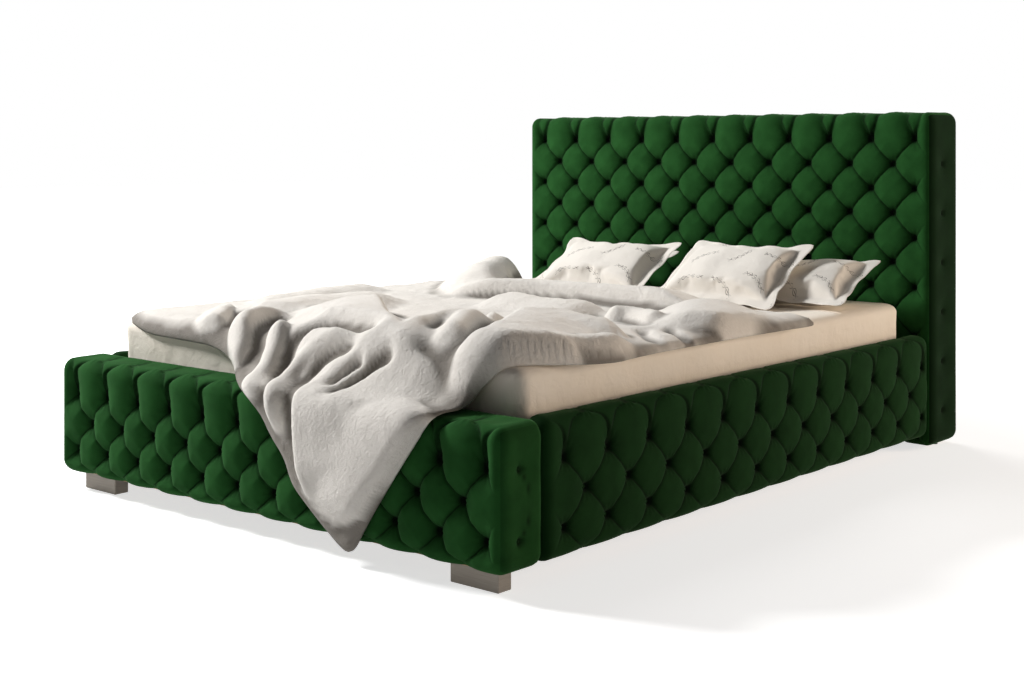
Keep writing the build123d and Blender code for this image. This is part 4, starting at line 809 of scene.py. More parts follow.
# fold crests: height, reach on the left and on the right of the crest, points as (x, run)
duvet_folds = [
    # the pile at the head end and the hem turned back on it
    (0.102, 0.213, 0.130, [(-0.870, -0.110), (-0.770, 0.060), (-0.660, 0.262), (-0.500, 0.502),
                           (-0.300, 0.722), (-0.180, 0.850)]),
    (0.085, 0.325, 0.058, [(0.660, 0.712), (0.440, 0.662), (0.090, 0.662), (-0.120, 0.702),
                           (-0.330, 0.782), (-0.500, 0.852)]),
    (0.058, 0.250, 0.043, [(-0.200, 0.870), (-0.050, 0.850), (0.060, 0.885), (0.160, 0.900),
                           (0.300, 0.880), (0.420, 0.905)]),
    (0.070, 0.200, 0.275, [(0.500, 0.602), (0.620, 0.752), (0.740, 0.952), (0.840, 1.102)]),
    # the broad drape on the left half, and the two edges that fall from it to the knot
    (0.062, 0.237, 0.237, [(-0.220, 1.082), (-0.400, 1.182), (-0.440, 1.362), (-0.400, 1.562),
                           (-0.300, 1.702)]),
    (0.080, 0.275, 0.056, [(0.385, 1.800), (0.200, 1.745), (0.070, 1.702), (-0.035, 1.712),
                           (-0.080, 1.745)]),
    (0.088, 0.375, 0.058, [(-0.300, 1.252), (-0.025, 1.480), (0.200, 1.690), (0.385, 1.815)]),
    (0.050, 0.163, 0.163, [(-0.720, 0.702), (-0.700, 1.052), (-0.660, 1.302), (-0.600, 1.522)]),
    # folds that run into the knot from the right
    (0.080, 0.072, 0.087, [(0.170, 1.152), (0.275, 1.477), (0.305, 1.609), (0.385, 1.782),
                           (0.430, 1.818)]),
    (0.082, 0.102, 0.087, [(0.300, 1.252), (0.265, 1.330), (0.330, 1.500), (0.440, 1.640),
                           (0.530, 1.760), (0.570, 1.830), (0.590, 1.870)]),
    (0.085, 0.112, 0.350, [(0.340, 1.180), (0.390, 1.268), (0.495, 1.457), (0.590, 1.620),
                           (0.660, 1.762), (0.680, 1.862), (0.700, 1.982)]),
    (0.064, 0.250, 0.080, [(0.600, 1.660), (0.740, 1.690), (0.815, 1.670), (0.840, 1.580)]),
    (0.070, 0.087, 0.188, [(0.725, 1.240), (0.650, 1.340), (0.505, 1.300), (0.390, 1.268)]),
    (0.058, 0.150, 0.087, [(0.800, 1.332), (0.820, 1.502), (0.760, 1.662), (0.700, 1.802),
                           (0.660, 1.902)]),
    (0.062, 0.072, 0.087, [(0.430, 1.060), (0.495, 0.955), (0.620, 1.010), (0.700, 1.060)]),
    # folds that fall from the knot and the drape over the footboard
    (0.050, 0.112, 0.051, [(-0.610, 1.549), (-0.470, 1.690), (-0.365, 1.800), (-0.330, 1.835),
                           (-0.315, 1.862)]),
    (0.066, 0.087, 0.058, [(-0.180, 1.617), (-0.270, 1.702), (-0.240, 1.790), (-0.185, 1.858),
                           (-0.185, 1.926), (-0.150, 1.980)]),
    (0.064, 0.072, 0.052, [(-0.120, 1.740), (-0.060, 1.818), (-0.042, 1.858), (-0.018, 1.930),
                           (0.025, 1.995), (0.070, 2.090)]),
    (0.066, 0.054, 0.050, [(0.400, 1.826), (0.350, 1.826), (0.190, 1.814), (0.108, 1.854),
                           (0.070, 1.918), (0.090, 1.970), (0.130, 2.023), (0.150, 2.090),
                           (0.170, 2.180)]),
    (0.064, 0.050, 0.320, [(0.440, 1.850), (0.395, 1.842), (0.285, 1.866), (0.222, 1.906),
                           (0.228, 1.987), (0.250, 2.059), (0.250, 2.131), (0.270, 2.230),
                           (0.330, 2.330)]),
    (0.064, 0.275, 0.087, [(0.700, 1.972), (0.670, 2.042), (0.560, 2.142), (0.460, 2.222),
                           (0.400, 2.282), (0.420, 2.362)])]
KNOT = (0.400, 1.825)           # where the cloth is bunched, as (x, run)
# tucks between folds: share of the height taken away, half width, points as (x, run)
duvet_tucks = [
    (0.75, 0.022, [(-0.050, 0.800), (0.050, 0.830), (0.150, 0.848), (0.230, 0.830)]),
    (0.78, 0.028, [(0.330, 1.800), (0.150, 1.772), (0.060, 1.772), (0.015, 1.820), (0.012, 1.880),
                   (0.024, 1.930), (0.085, 2.030)]),
    (0.70, 0.024, [(0.300, 1.826), (0.210, 1.852), (0.150, 1.890), (0.145, 1.975), (0.185, 2.055),
                   (0.200, 2.140)]),
    (0.65, 0.021, [(0.430, 1.846), (0.375, 1.868), (0.335, 1.905), (0.315, 1.965), (0.310, 2.030)]),
    (0.55, 0.017, [(0.330, 1.868), (0.290, 1.890), (0.268, 1.930), (0.268, 1.980)]),
    (0.65, 0.024, [(-0.245, 1.650), (-0.185, 1.770), (-0.120, 1.854), (-0.110, 1.920)]),
    (0.65, 0.024, [(-0.480, 1.600), (-0.360, 1.740), (-0.290, 1.830), (-0.270, 1.880)]),
    (0.70, 0.030, [(0.360, 0.900), (0.395, 0.983), (0.495, 1.172)]),
    (0.65, 0.034, [(0.080, 1.130), (0.200, 1.290), (0.320, 1.440)]),
    (0.70, 0.022, [(0.660, 1.120), (0.720, 1.200), (0.780, 1.250), (0.830, 1.310)]),
    (0.70, 0.018, [(0.715, 1.092), (0.800, 1.150), (0.880, 1.180)])]
print(len(duvet_folds), "folds and", len(duvet_tucks), "tucks")

# %% Lines in the plan
OUTLINE_ROUNDS, LINE_ROUNDS = 2, 3      # how often the corners of the outline and of a fold are cut
CUT = 0.25                      # share of a side that a cut takes off


def rounded_line(points, rounds, closed):
    """Cuts the corners of a line of points a few times over."""
    line = np.array(points, float)
    for _ in range(rounds):
        after = np.roll(line, -1, axis=0) if closed else line[1:]
        before = line if closed else line[:-1]
        cut = np.stack([(1 - CUT) * before + CUT * after, CUT * before + (1 - CUT) * after], axis=1)
        cut = cut.reshape(-1, 2)
        line = cut if closed else np.concatenate([line[:1], cut, line[-1:]])
    return line


def nearest_on(points, line, closed):
    """Distance from points to a line, share of its length there, the place and the heading."""
    start = line if closed else line[:-1]
    end = np.roll(line, -1, axis=0) if closed else line[1:]
    lengths = np.linalg.norm(end - start, axis=1)
    before = np.concatenate([[0], np.cumsum(lengths)])
    best = np.full(len(points), np.inf)
    share = np.zeros(len(points))
    place, heading = np.zeros((len(points), 2)), np.zeros((len(points), 2))
    for k in range(len(start)):
        step = end[k] - start[k]
        t = np.clip((points - start[k]) @ step / max(step @ step, TINY ** 2), 0, 1)
        spot = start[k] + t[:, None] * step
        away = np.linalg.norm(points - spot, axis=1)
        nearer = away < best
        best = np.where(nearer, away, best)
        share = np.where(nearer, (before[k] + t * lengths[k]) / before[-1], share)
        place = np.where(nearer[:, None], spot, place)
        heading = np.where(nearer[:, None], step / max(lengths[k], TINY), heading)
    return best, share, place, heading


def inside(points, loop):
    """Whether points lie inside a closed line."""
    hit = np.zeros(len(points), bool)
    for (x1, y1), (x2, y2) in zip(loop, np.roll(loop, -1, axis=0)):
        spans = (y1 > points[:, 1]) != (y2 > points[:, 1])
        cross = x1 + (points[:, 1] - y1) * (x2 - x1) / (y2 - y1 if y2 != y1 else TINY)
        hit ^= spans & (points[:, 0] < cross)
    return hit


outline = rounded_line(duvet_outline, OUTLINE_ROUNDS, True)
print("the outline has", len(outline), "points")

# %% [markdown]
# Where folds meet, the higher one wins, with a soft blend: that is a sum of high powers. A fold
# dies away towards its ends, except in the knot where the cloth is bunched. On the bed a fold
# may stand as high as it likes; on the footboard it hangs, so its height is held down.

# %% Height of the folds
LOFT = 0.022                    # filled thickness between folds
HANGING_LOFT = 0.012
HANGING_FROM, HANGING_TO = 1.78, 1.86   # run over which the loft thins
HANGING_RUN = 0.1
HANGING_LIMIT = 0.062           # folds that hang on the footboard stay under this
BLEND_POWER = 6
CREST_POWER = 1.7               # below 1 a fold is a round tube, above 1 it spreads at its foot
KNOT_NEAR, KNOT_KEPT = 0.08, 0.8        # a fold that ends this near the knot keeps this share there
FOLD_TIP, TUCK_TIP = 0.25, 0.2  # share of the length over which a fold and a tuck die away
SOFT_WAVES = ((0.16, 0.006, 4), (0.070, 0.0015, 5))         # size, height and seed
FINE_CREASES = ((0.085, 0.0018, 6), (0.045, 0.0010, 7))
CREASE_SHARP = 3.2


def crinkles(points, size, seed):
    """Thin raised creases, 0 to 1, where smooth noise of the given size changes sign."""
    return np.maximum(1 - CREASE_SHARP * np.abs(ripples(points, size, seed)), 0)


def tip(share, end):
    """How a fold dies away towards its end; one that ends in the knot keeps most of its height."""
    kept = KNOT_KEPT if np.hypot(end[0] - KNOT[0], end[1] - KNOT[1]) < KNOT_NEAR else 0.0
    return kept + (1 - kept) * smooth(share / FOLD_TIP)


def fold_height(points):
    """How far the quilt's upper face stands off the bed at plan points, away from its edge."""
    total = np.interp(points[:, 1], [HANGING_FROM, HANGING_TO], [LOFT, HANGING_LOFT]) ** BLEND_POWER
    for height, left, right, line in duvet_folds:
        away, share, place, heading = nearest_on(points, rounded_line(line, LINE_ROUNDS, False), False)
        off = points - place
        # 1 on the left of the line, 0 on its right, between the two beyond its ends
        side = (heading[:, 0] * off[:, 1] - heading[:, 1] * off[:, 0]) / np.maximum(away, SMALL)
        reach = right + (left - right) * np.clip(0.5 + 0.5 * side, 0, 1)
        crest = (1 - np.minimum(away / reach, 1) ** 2) ** CREST_POWER
        ends = tip(share, line[0]) * tip(1 - share, line[-1])
        total += (height * crest * ends) ** BLEND_POWER
    height = total ** (1 / BLEND_POWER)
    for depth, half_width, line in duvet_tucks:
        away, share, _, _ = nearest_on(points, rounded_line(line, LINE_ROUNDS, False), False)
        ends = smooth(share / TUCK_TIP) * smooth((1 - share) / TUCK_TIP)
        height *= 1 - depth * ends * np.exp(-((away / half_width) ** 2))
    flat = np.column_stack([points, np.zeros(len(points))])
    waves = sum(ripples(flat, size, seed) * high for size, high, seed in SOFT_WAVES)
    height += waves + sum(crinkles(flat, size, seed) * high for size, high, seed in FINE_CREASES)
    hanging = smooth((points[:, 1] - HANGING_FROM) / HANGING_RUN)
    return height + hanging * (HANGING_LIMIT * np.tanh(height / HANGING_LIMIT) - height)


print("loft", LOFT, "m on the bed,", HANGING_LOFT, "m where it hangs")

# %% [markdown]
# The plan becomes a grid of small squares inside the outline. The outermost points are moved
# onto the outline, so the hem is smooth although the grid is square. A grid is easy to compare
# with its surroundings, which the shade deep in the folds needs.

# %% Grid of the plan
PLAN_STEP = 0.0080
xs, runs = (np.arange(outline[:, k].min() - PLAN_STEP, outline[:, k].max() + 2 * PLAN_STEP, PLAN_STEP)
            for k in (0, 1))
grid = np.stack(np.meshgrid(xs, runs, indexing="ij"), axis=-1).reshape(-1, 2)
within = inside(grid, outline)
number = np.arange(len(grid)).reshape(len(xs), len(runs))
quads = np.stack([number[:-1, :-1], number[:-1, 1:], number[1:, 1:], number[1:, :-1]], axis=-1)
quads = quads.reshape(-1, 4)
quads = quads[within[quads].all(axis=1)]
used, index = np.unique(quads, return_inverse=True)
quads = index.reshape(quads.shape)
# an edge that no other quad runs along the other way lies on the rim
edges = np.concatenate([quads[:, [k, (k + 1) % 4]] for k in range(4)]).tolist()
known = {(a, b) for a, b in edges}
rim = [(a, b) for a, b in edges if (b, a) not in known]
plan = grid[used]
on_rim = np.unique(np.array(rim))
from_edge, _, place, _ = nearest_on(plan, outline, True)
plan[on_rim] = place[on_rim]
from_edge[on_rim] = 0
print("plan:", len(plan), "points,", len(on_rim), "of them on the rim")

# %% [markdown]
# At its hem the quilt is thin, and a little further in it rolls up to its thickness. Every plan
# point gets its place on the bed twice, for the upper and for the lower face, and the rim joins
# the two. Past the mattress's left side the cloth falls, on the right it stands out.

# %% Lay the duvet
HEM = 0.007
EDGE_ROLL = 0.048               # how far in from the edge the quilt reaches its thickness
FOLD_REACH = 5                  # in plan steps, of the surroundings that a place is compared with
FOLD_FROM = 0.004               # this far below its surroundings a place starts to lie in a fold
FOLD_DEPTH = 0.009              # and this much further down it is deep in it
DROOP_LEFT, DROOP_RIGHT = 1.1, 0.15     # how far cloth past the mattress's side falls, for its reach
DRAWN_IN = 0.5
SIDE_FROM = 0.012               # how far inside the mattress's side that starts
mattress_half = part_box("mattress")[1].x


def blurred(values, reach):
    """Runs a box average over a grid three times, along both axes."""
    for axis in (0, 1, 0, 1, 0, 1):
        wide = np.pad(values, [(reach + 1, reach) if k == axis else (0, 0) for k in (0, 1)], mode="edge")
        sums = np.cumsum(wide, axis=axis)
        span = np.arange(values.shape[axis])
        later, earlier = (np.take(sums, span + shift, axis=axis) for shift in (2 * reach + 1, 0))
        values = (later - earlier) / (2 * reach + 1)
    return values


def laid(points, height):
    """Plan points at a height off the bed, in the frame."""
    run, x = points[:, 1], points[:, 0]
    y, z = (np.interp(run, fine_run, fine_way[:, k]) for k in (0, 1))
    out_y, out_z = (np.interp(run, fine_run, fine_out[:, k]) for k in (0, 1))
    past = np.maximum(np.abs(x) - mattress_half + SIDE_FROM, 0)
    # past the mattress's side the cloth hangs on the left and stands out stiffly on the right
    droop = np.where(x < 0, DROOP_LEFT, DROOP_RIGHT) * past * (run < way_run[2])
    drawn_in = np.where(x < 0, DRAWN_IN * past, 0)
    return np.column_stack([x + drawn_in, y + out_y * height, z + out_z * height - droop])


inner = np.clip(from_edge / EDGE_ROLL, 0, 1)
rise = fold_height(plan)
height = HEM + (rise - HEM) * np.sqrt(np.maximum(1 - (1 - inner) ** 2, 0))
# how far a place lies below its surroundings, for the shade deep in a fold
around = np.full(len(grid), rise.mean())
around[used] = rise
around = blurred(around.reshape(len(xs), len(runs)), FOLD_REACH).reshape(-1)[used]
depth_in_fold = np.clip((around - rise - FOLD_FROM) / FOLD_DEPTH, 0, 1)
upper, lower = laid(plan, height), laid(plan, np.zeros(len(plan)))
faces = quads.tolist() + (quads[:, ::-1] + len(plan)).tolist()
faces += [(b, a, a + len(plan), b + len(plan)) for a, b in rim]
duvet = piece_from("duvet_linen_quilt", np.concatenate([upper, lower]), faces, LINEN)
# painted shade: this attribute darkens the linen deep between folds
painted_fold_shade = duvet.data.attributes.new("painted_fold_shade", "FLOAT", "POINT")
painted_fold_shade.data.foreach_set("value", np.concatenate([depth_in_fold, depth_in_fold]).astype(np.float32))
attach(duvet, "lift_base")
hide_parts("duvet")
print("duvet:", len(faces), "faces, highest", round(float(upper[:, 2].max()), 3), "m")

# %% [markdown]
# The four pillows are filled bags with a flat flange sewn round them. A bag is two sheets of
# cloth joined at the seam. Blown up by a cloth simulation it fills as feathers fill it: the
# middle crowns, the sides pull in, and small puckers form along the seam. The flange is sewn
# on afterwards, since it holds no filling. The print is a scatter of small leafy sprigs, drawn
# in the cloth's own flat coordinates so that it follows every curve.

# %% Printed cotton
SPRIG_SPACING = 128             # in millimetres, from one sprig to the next
SPRIG_SHIFT = 0.45              # how far sprigs stray from even rows, 0 to 1
SPRIG_HALF, SPRIG_END = 0.050, 0.056    # where a sprig starts to end and has ended
SPRIG_BEND = -5.0               # bend of the stem, in metres aside for each square metre along
BARE_SHARE = 0.20               # of the places that stay without a sprig
LEAF_LENGTH, LEAF_SIDE = 0.021, 0.008
LINE_FULL, LINE_GONE = 0.0006, 0.0019   # half width; about 2 mm wide, coarser than such a print, to show
INK_THIN, INK_FULL = 0.35, 0.6  # where worn ink starts to show and is whole


def printed_cotton():
    """Bleached cotton sateen with a thin grey-brown printed line: soft, matt, barely glossy."""
    material, tree, place = new_material("printed_cotton_sateen")
    cloth = put(tree, "ShaderNodeTexCoord").outputs["UV"]
    spread = put(tree, "ShaderNodeTexVoronoi", {
        "Vector": cloth, "Scale": per_metre(SPRIG_SPACING), "Randomness": SPRIG_SHIFT},
        voronoi_dimensions="2D")
    middle = put(tree, "ShaderNodeVectorMath", {0: cloth, 1: spread.outputs["Position"]},
                 operation="SUBTRACT")
    pick = put(tree, "ShaderNodeSeparateColor", {"Color": spread.outputs["Color"]})
    angle = put(tree, "ShaderNodeMath", {0: pick.outputs["Red"], 1: 2 * math.pi},
                operation="MULTIPLY")
    turned = put(tree, "ShaderNodeVectorRotate", {
        "Vector": middle.outputs["Vector"], "Angle": angle.outputs["Value"]}, rotation_type="Z_AXIS")
    # a sprig runs along x: off is the distance from its bent stem
    along = put(tree, "ShaderNodeSeparateXYZ", {"Vector": turned.outputs["Vector"]})
    bend = put(tree, "ShaderNodeMath", {0: along.outputs["X"], 1: along.outputs["X"]},
               operation="MULTIPLY")
    lift = put(tree, "ShaderNodeMath", {0: bend.outputs["Value"], 1: SPRIG_BEND, 2: along.outputs["Y"]},
               operation="MULTIPLY_ADD")
    off = put(tree, "ShaderNodeMath", {0: lift.outputs["Value"]}, operation="ABSOLUTE")
    # a leaf's rim swings out from the stem and back over each leaf length
    wave = put(tree, "ShaderNodeMath", {0: along.outputs["X"], 1: math.pi / LEAF_LENGTH},
               operation="MULTIPLY")
    leaf = put(tree, "ShaderNodeMath", {0: wave.outputs["Value"]}, operation="SINE")
    leaf_side = put(tree, "ShaderNodeMath", {0: leaf.outputs["Value"]}, operation="ABSOLUTE")
    rim = put(tree, "ShaderNodeMath", {
        0: leaf_side.outputs["Value"], 1: -LEAF_SIDE, 2: off.outputs["Value"]}, operation="MULTIPLY_ADD")
    rim_off = put(tree, "ShaderNodeMath", {0: rim.outputs["Value"]}, operation="ABSOLUTE")
    nearest = put(tree, "ShaderNodeMath", {0: rim_off.outputs["Value"], 1: off.outputs["Value"]},
                  operation="MINIMUM")
    line = put(tree, "ShaderNodeMapRange", {
        "Value": nearest.outputs["Value"], "From Min": LINE_FULL, "From Max": LINE_GONE,
        "To Min": 1.0, "To Max": 0.0})
    reach = put(tree, "ShaderNodeMath", {0: along.outputs["X"]}, operation="ABSOLUTE")
    sprig = put(tree, "ShaderNodeMapRange", {
        "Value": reach.outputs["Value"], "From Min": SPRIG_HALF, "From Max": SPRIG_END,
        "To Min": 1.0, "To Max": 0.0})
    some = put(tree, "ShaderNodeMath", {0: pick.outputs["Green"], 1: BARE_SHARE},
               operation="GREATER_THAN")
    wear = put(tree, "ShaderNodeTexNoise", {"Vector": cloth, "Scale": per_metre(16), "Detail": 3.0})
    worn = put(tree, "ShaderNodeMapRange", {
        "Value": wear.outputs["Fac"], "From Min": INK_THIN, "From Max": INK_FULL})
    ink = line.outputs["Result"]
    for share in (sprig.outputs["Result"], some.outputs["Value"], worn.outputs["Result"]):
        ink = put(tree, "ShaderNodeMath", {0: ink, 1: share}, operation="MULTIPLY").outputs["Value"]
    tone = put(tree, "ShaderNodeMix", {"A": linear("#EAE4DB"), "B": linear("#5E534C"), "Factor": ink},
               data_type="RGBA")
    # sateen threads are drawn at 1.5 mm, coarser than real, so that they show
    weave = put(tree, "ShaderNodeTexNoise", {"Vector": place, "Scale": per_metre(1.5), "Detail": 2.0})
    crease_and_painted_shade = put(tree, "ShaderNodeTexNoise", {
        "Vector": place, "Scale": per_metre(34), "Detail": 4.0, "Distortion": 0.8})
    soft = put(tree, "ShaderNodeBump", {"Height": crease_and_painted_shade.outputs["Fac"], "Strength": 0.4,
                                        "Distance": 0.006})
    threads = put(tree, "ShaderNodeBump", {"Height": weave.outputs["Fac"], "Strength": 0.15,
                                           "Distance": 0.0006, "Normal": soft.outputs["Normal"]})
    shader = put(tree, "ShaderNodeBsdfPrincipled", {
        "Base Color": tone.outputs["Result"], "Roughness": 0.8, "Specular IOR Level": 0.25,
        "Sheen Weight": 0.1, "Sheen Roughness": 0.5, "Normal": threads.outputs["Normal"]})
    put(tree, "ShaderNodeOutputMaterial", {"Surface": shader.outputs["BSDF"]})
    return material


PRINT = printed_cotton()
print("material:", PRINT.name)

# %% [markdown]
# Filling comes first. The two sheets start a little crowned, so that the pressure has a side to
# push on, and drawn in between the corners. Blender's Cloth runs for a few frames with pressure
# and without gravity, and a cap on each point's way keeps the bag in its place.

# %% Fill one bag
PILLOW_LENGTH = 0.520
PILLOW_WIDTH = 0.360
FLANGE = 0.036
BAG_HALF = np.array([PILLOW_LENGTH, PILLOW_WIDTH]) / 2 - FLANGE
BAG_COUNT = (48, 30)
BAG_CROWN = 0.034               # half thickness before the filling
CROWN_FULL = 2.4                # how far the crown stays full towards the seam
SIDES_IN = 0.035                # share by which the sides pull in between the corners
DIMPLE_SIZE, DIMPLE_DEPTH = 0.09, 0.006
FILL_FRAMES = 22
FILL_CAP = 0.022                # the furthest that a point moves in the filling


def bag_grid():
    """Flat places (u, v) of a bag's sheet and the ring of its seam, corner to corner."""
    nu, nv = BAG_COUNT
    u = np.linspace(-0.5, 0.5, nu + 1) * (PILLOW_LENGTH - 2 * FLANGE)
    v = np.linspace(-0.5, 0.5, nv + 1) * (PILLOW_WIDTH - 2 * FLANGE)
    flat = np.stack(np.meshgrid(u, v, indexing="ij"), axis=-1).reshape(-1, 2)
    n = np.arange(len(flat)).reshape(nu + 1, nv + 1)
    quads = np.stack([n[:-1, :-1], n[1:, :-1], n[1:, 1:], n[:-1, 1:]], axis=-1).reshape(-1, 4)
    ring = np.concatenate([n[:-1, 0], n[-1, :-1], n[:0:-1, -1], n[0, :0:-1]])
    return flat, quads, ring


def blow_up(piece, start):
    """Fills a closed bag by a cloth simulation with air pressure, and gives its points."""
    cloth = piece.modifiers.new("filling", "CLOTH")
    cloth.settings.quality = 6
    cloth.settings.mass = 0.25
    cloth.settings.use_pressure = True
    cloth.settings.uniform_pressure_force = 4.0
    cloth.settings.tension_stiffness = 25
    cloth.settings.compression_stiffness = 25
    cloth.settings.bending_stiffness = 0.2
    cloth.settings.effector_weights.gravity = 0
    for step in range(1, FILL_FRAMES + 1):
        bpy.context.scene.frame_set(step)
    graph = bpy.context.evaluated_depsgraph_get()
    mesh = piece.evaluated_get(graph).to_mesh()
    filled = np.array([v.co for v in mesh.vertices])
    piece.evaluated_get(graph).to_mesh_clear()
    bpy.context.scene.frame_set(1)
    move = filled - start
    move -= move.mean(axis=0)
    far = np.linalg.norm(move, axis=1, keepdims=True)
    return start + move * np.minimum(1, FILL_CAP / np.maximum(far, TINY))


def filled_bag(seed):
    """Upper and lower points of one bag, its flat places, quads and seam ring."""
    flat, quads, ring = bag_grid()
    share = np.abs(flat) / BAG_HALF
    crown = BAG_CROWN * (np.maximum(1 - share ** CROWN_FULL, 0).prod(axis=1)) ** 0.5
    pulled = flat * (1 - SIDES_IN * np.maximum(1 - share[:, ::-1] ** 2, 0))
    spots = np.column_stack([pulled, np.zeros(len(flat))])
    dimples = ripples(spots, DIMPLE_SIZE, seed) * DIMPLE_DEPTH * crown / BAG_CROWN
    top = np.column_stack([pulled, crown + dimples])
    bottom = np.column_stack([pulled, -crown + dimples])
    inner = np.setdiff1d(np.arange(len(flat)), ring)
    below = np.arange(len(flat))
    below[inner] = len(flat) + np.arange(len(inner))
    start = np.concatenate([top, bottom[inner]])
    bag = piece_from("bag", start, quads.tolist() + below[quads][:, ::-1].tolist(), PRINT)
    filled = blow_up(bag, start)
    bpy.data.objects.remove(bag)
    return filled[:len(flat)], filled[below], flat, quads, ring


print("bag of", BAG_COUNT[0], "by", BAG_COUNT[1], "cells a side")

# %% [markdown]
# The flange is two sheets in a few rings round the seam, with a slight flutter and drawn-out
# corners. It is made as mesh and not by a modifier, because the print's flat coordinates have to
# run on across it.

# %% Sew on the flange
FLANGE_HALF = 0.0014            # half thickness
FLANGE_RINGS = 4
FLUTTER = 0.003                 # of the flange's edge, in two waves round the pillow
FLUTTER_WAVES = (7, 12)
EAR = 0.006                     # how far a corner of the flange is drawn out


def sewn_pillow(seed):
    """One bag with its flange: points, flat cloth coordinates and faces."""
    top, bottom, flat, quads, ring = filled_bag(seed)
    outward = np.where(np.isclose(np.abs(flat[ring]), BAG_HALF), np.sign(flat[ring]), 0)
    corner = (outward != 0).all(axis=1)
    top[ring, 2] = np.maximum(top[ring, 2], 0) + FLANGE_HALF
    bottom[ring, 2] = top[ring, 2] - 2 * FLANGE_HALF
    points, places = [top, bottom], [flat, flat + [PILLOW_LENGTH, 0]]
    faces = quads.tolist() + (quads[:, ::-1] + len(flat)).tolist()
    last_top, last_bottom = ring, ring + len(flat)
    total = 2 * len(flat)
    around = np.arange(len(ring)) / len(ring) * 2 * math.pi
    waves = np.sin(FLUTTER_WAVES[0] * around + seed) + np.sin(FLUTTER_WAVES[1] * around + 2 * seed)
    for step in range(1, FLANGE_RINGS + 1):
        out = outward * (FLANGE * step / FLANGE_RINGS)
        flutter = FLUTTER * step / FLANGE_RINGS * waves
        ear = outward * (EAR * step / FLANGE_RINGS * corner)[:, None]
        spread = np.column_stack([top[ring, :2] + out + ear, top[ring, 2] - FLANGE_HALF + flutter])
        points += [spread + [0, 0, FLANGE_HALF], spread - [0, 0, FLANGE_HALF]]
        places += [flat[ring] + out, flat[ring] + out + [PILLOW_LENGTH, 0]]
        next_top = total + np.arange(len(ring))
        next_bottom = next_top + len(ring)
        total += 2 * len(ring)
        for k in range(len(ring)):
            n = (k + 1) % len(ring)
            faces.append((last_top[k], next_top[k], next_top[n], last_top[n]))
            faces.append((last_bottom[n], next_bottom[n], next_bottom[k], last_bottom[k]))
        last_top, last_bottom = next_top, next_bottom
    for k in range(len(ring)):
        n = (k + 1) % len(ring)
        faces.append((last_top[k], last_bottom[k], last_bottom[n], last_top[n]))
    faces = [tuple(int(v) for v in face) for face in faces]
    return np.concatenate(points), np.concatenate(places), faces


print("flange", FLANGE, "m wide in", FLANGE_RINGS, "rings")

# %% Lay the pillows
FIRST_SEED = 11
# middle in x, distance of the middle from the mattress's head end, lean and turn in degrees
pillow_places = {
    "pillow_left_front": (-0.180, 0.370, 30, 2),
    "pillow_left_back": (-0.280, 0.250, 22, -2),
    "pillow_right_front": (0.360, 0.370, 34, -2),
    "pillow_right_back": (0.540, 0.250, 22, 2),
}
mattress_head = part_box("mattress")[1].y


def pillow(node, seed, x, from_head, lean, turn):
    """One pillow, leant, turned and laid on the sheet, with its flat coordinates for the print."""
    shape, places, faces = sewn_pillow(seed)
    turned = Matrix.Rotation(math.radians(turn), 3, "Z") @ Matrix.Rotation(math.radians(lean), 3, "X")
    shape = shape @ np.array(turned).T
    shape += [x, mattress_head - from_head, rest_z - shape[:, 2].min()]
    piece = piece_from(node + "_cotton", shape, faces, PRINT)
    corners = np.zeros(len(piece.data.loops), np.int32)
    piece.data.loops.foreach_get("vertex_index", corners)
    uv = piece.data.uv_layers.new(name="cloth")
    uv.data.foreach_set("uv", places[corners].astype(np.float32).ravel())
    fine = piece.modifiers.new("fine", "SUBSURF")
    fine.levels = 1
    fine.render_levels = 1
    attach(piece, "lift_base")
    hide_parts(node)
    print(node, "top at", round(float(shape[:, 2].max()), 3), "m")


for seed, (node, place) in enumerate(pillow_places.items(), FIRST_SEED):
    pillow(node, seed, *place)

# %% [markdown]
# The CAD nodes that stay in view are boards, slats, tubes, brackets, struts and feet. Each
# gets the finish of its real material. Wood grain is noise stretched along the board; metal
# that was brushed has fine lines along its length; plated and painted steel have a mottled or
# slightly pebbled skin; moulded plastic has a fine spark-eroded grain.

# %% Wood and board
GRAIN_STRETCH = 0.06            # grain is about 16 times as long as wide
PORES_A_RING = 7


def grained_wood(name, pale, dark, along, ring_mm, roughness):
    """Planed wood: warm bands of early and late wood, drawn out along one axis, with fine pores."""
    material, tree, place = new_material(name)
    stretch = [GRAIN_STRETCH if axis == along else 1.0 for axis in "xyz"]
    drawn = put(tree, "ShaderNodeMapping", {"Vector": place, "Scale": stretch})
    rings = put(tree, "ShaderNodeTexNoise", {
        "Vector": drawn.outputs["Vector"], "Scale": per_metre(ring_mm), "Detail": 6.0, "Distortion": 1.4})
    # pores of a few tenths of a millimetre are drawn coarser, so that they show
    pores = put(tree, "ShaderNodeTexNoise", {
        "Vector": drawn.outputs["Vector"], "Scale": per_metre(ring_mm / PORES_A_RING), "Detail": 3.0})
    bands = put(tree, "ShaderNodeMapRange", {"Value": rings.outputs["Fac"], "From Min": 0.35,
                                             "From Max": 0.65})
    tone = put(tree, "ShaderNodeMix", {"A": linear(dark), "B": linear(pale),
                                       "Factor": bands.outputs["Result"]}, data_type="RGBA")
    grain = put(tree, "ShaderNodeBump", {"Height": pores.outputs["Fac"], "Strength": 0.25,
                                         "Distance": 0.0006})
    shader = put(tree, "ShaderNodeBsdfPrincipled", {
        "Base Color": tone.outputs["Result"], "Roughness": roughness, "Specular IOR Level": 0.35,
        "Normal": grain.outputs["Normal"]})
    put(tree, "ShaderNodeOutputMaterial", {"Surface": shader.outputs["BSDF"]})
    return material


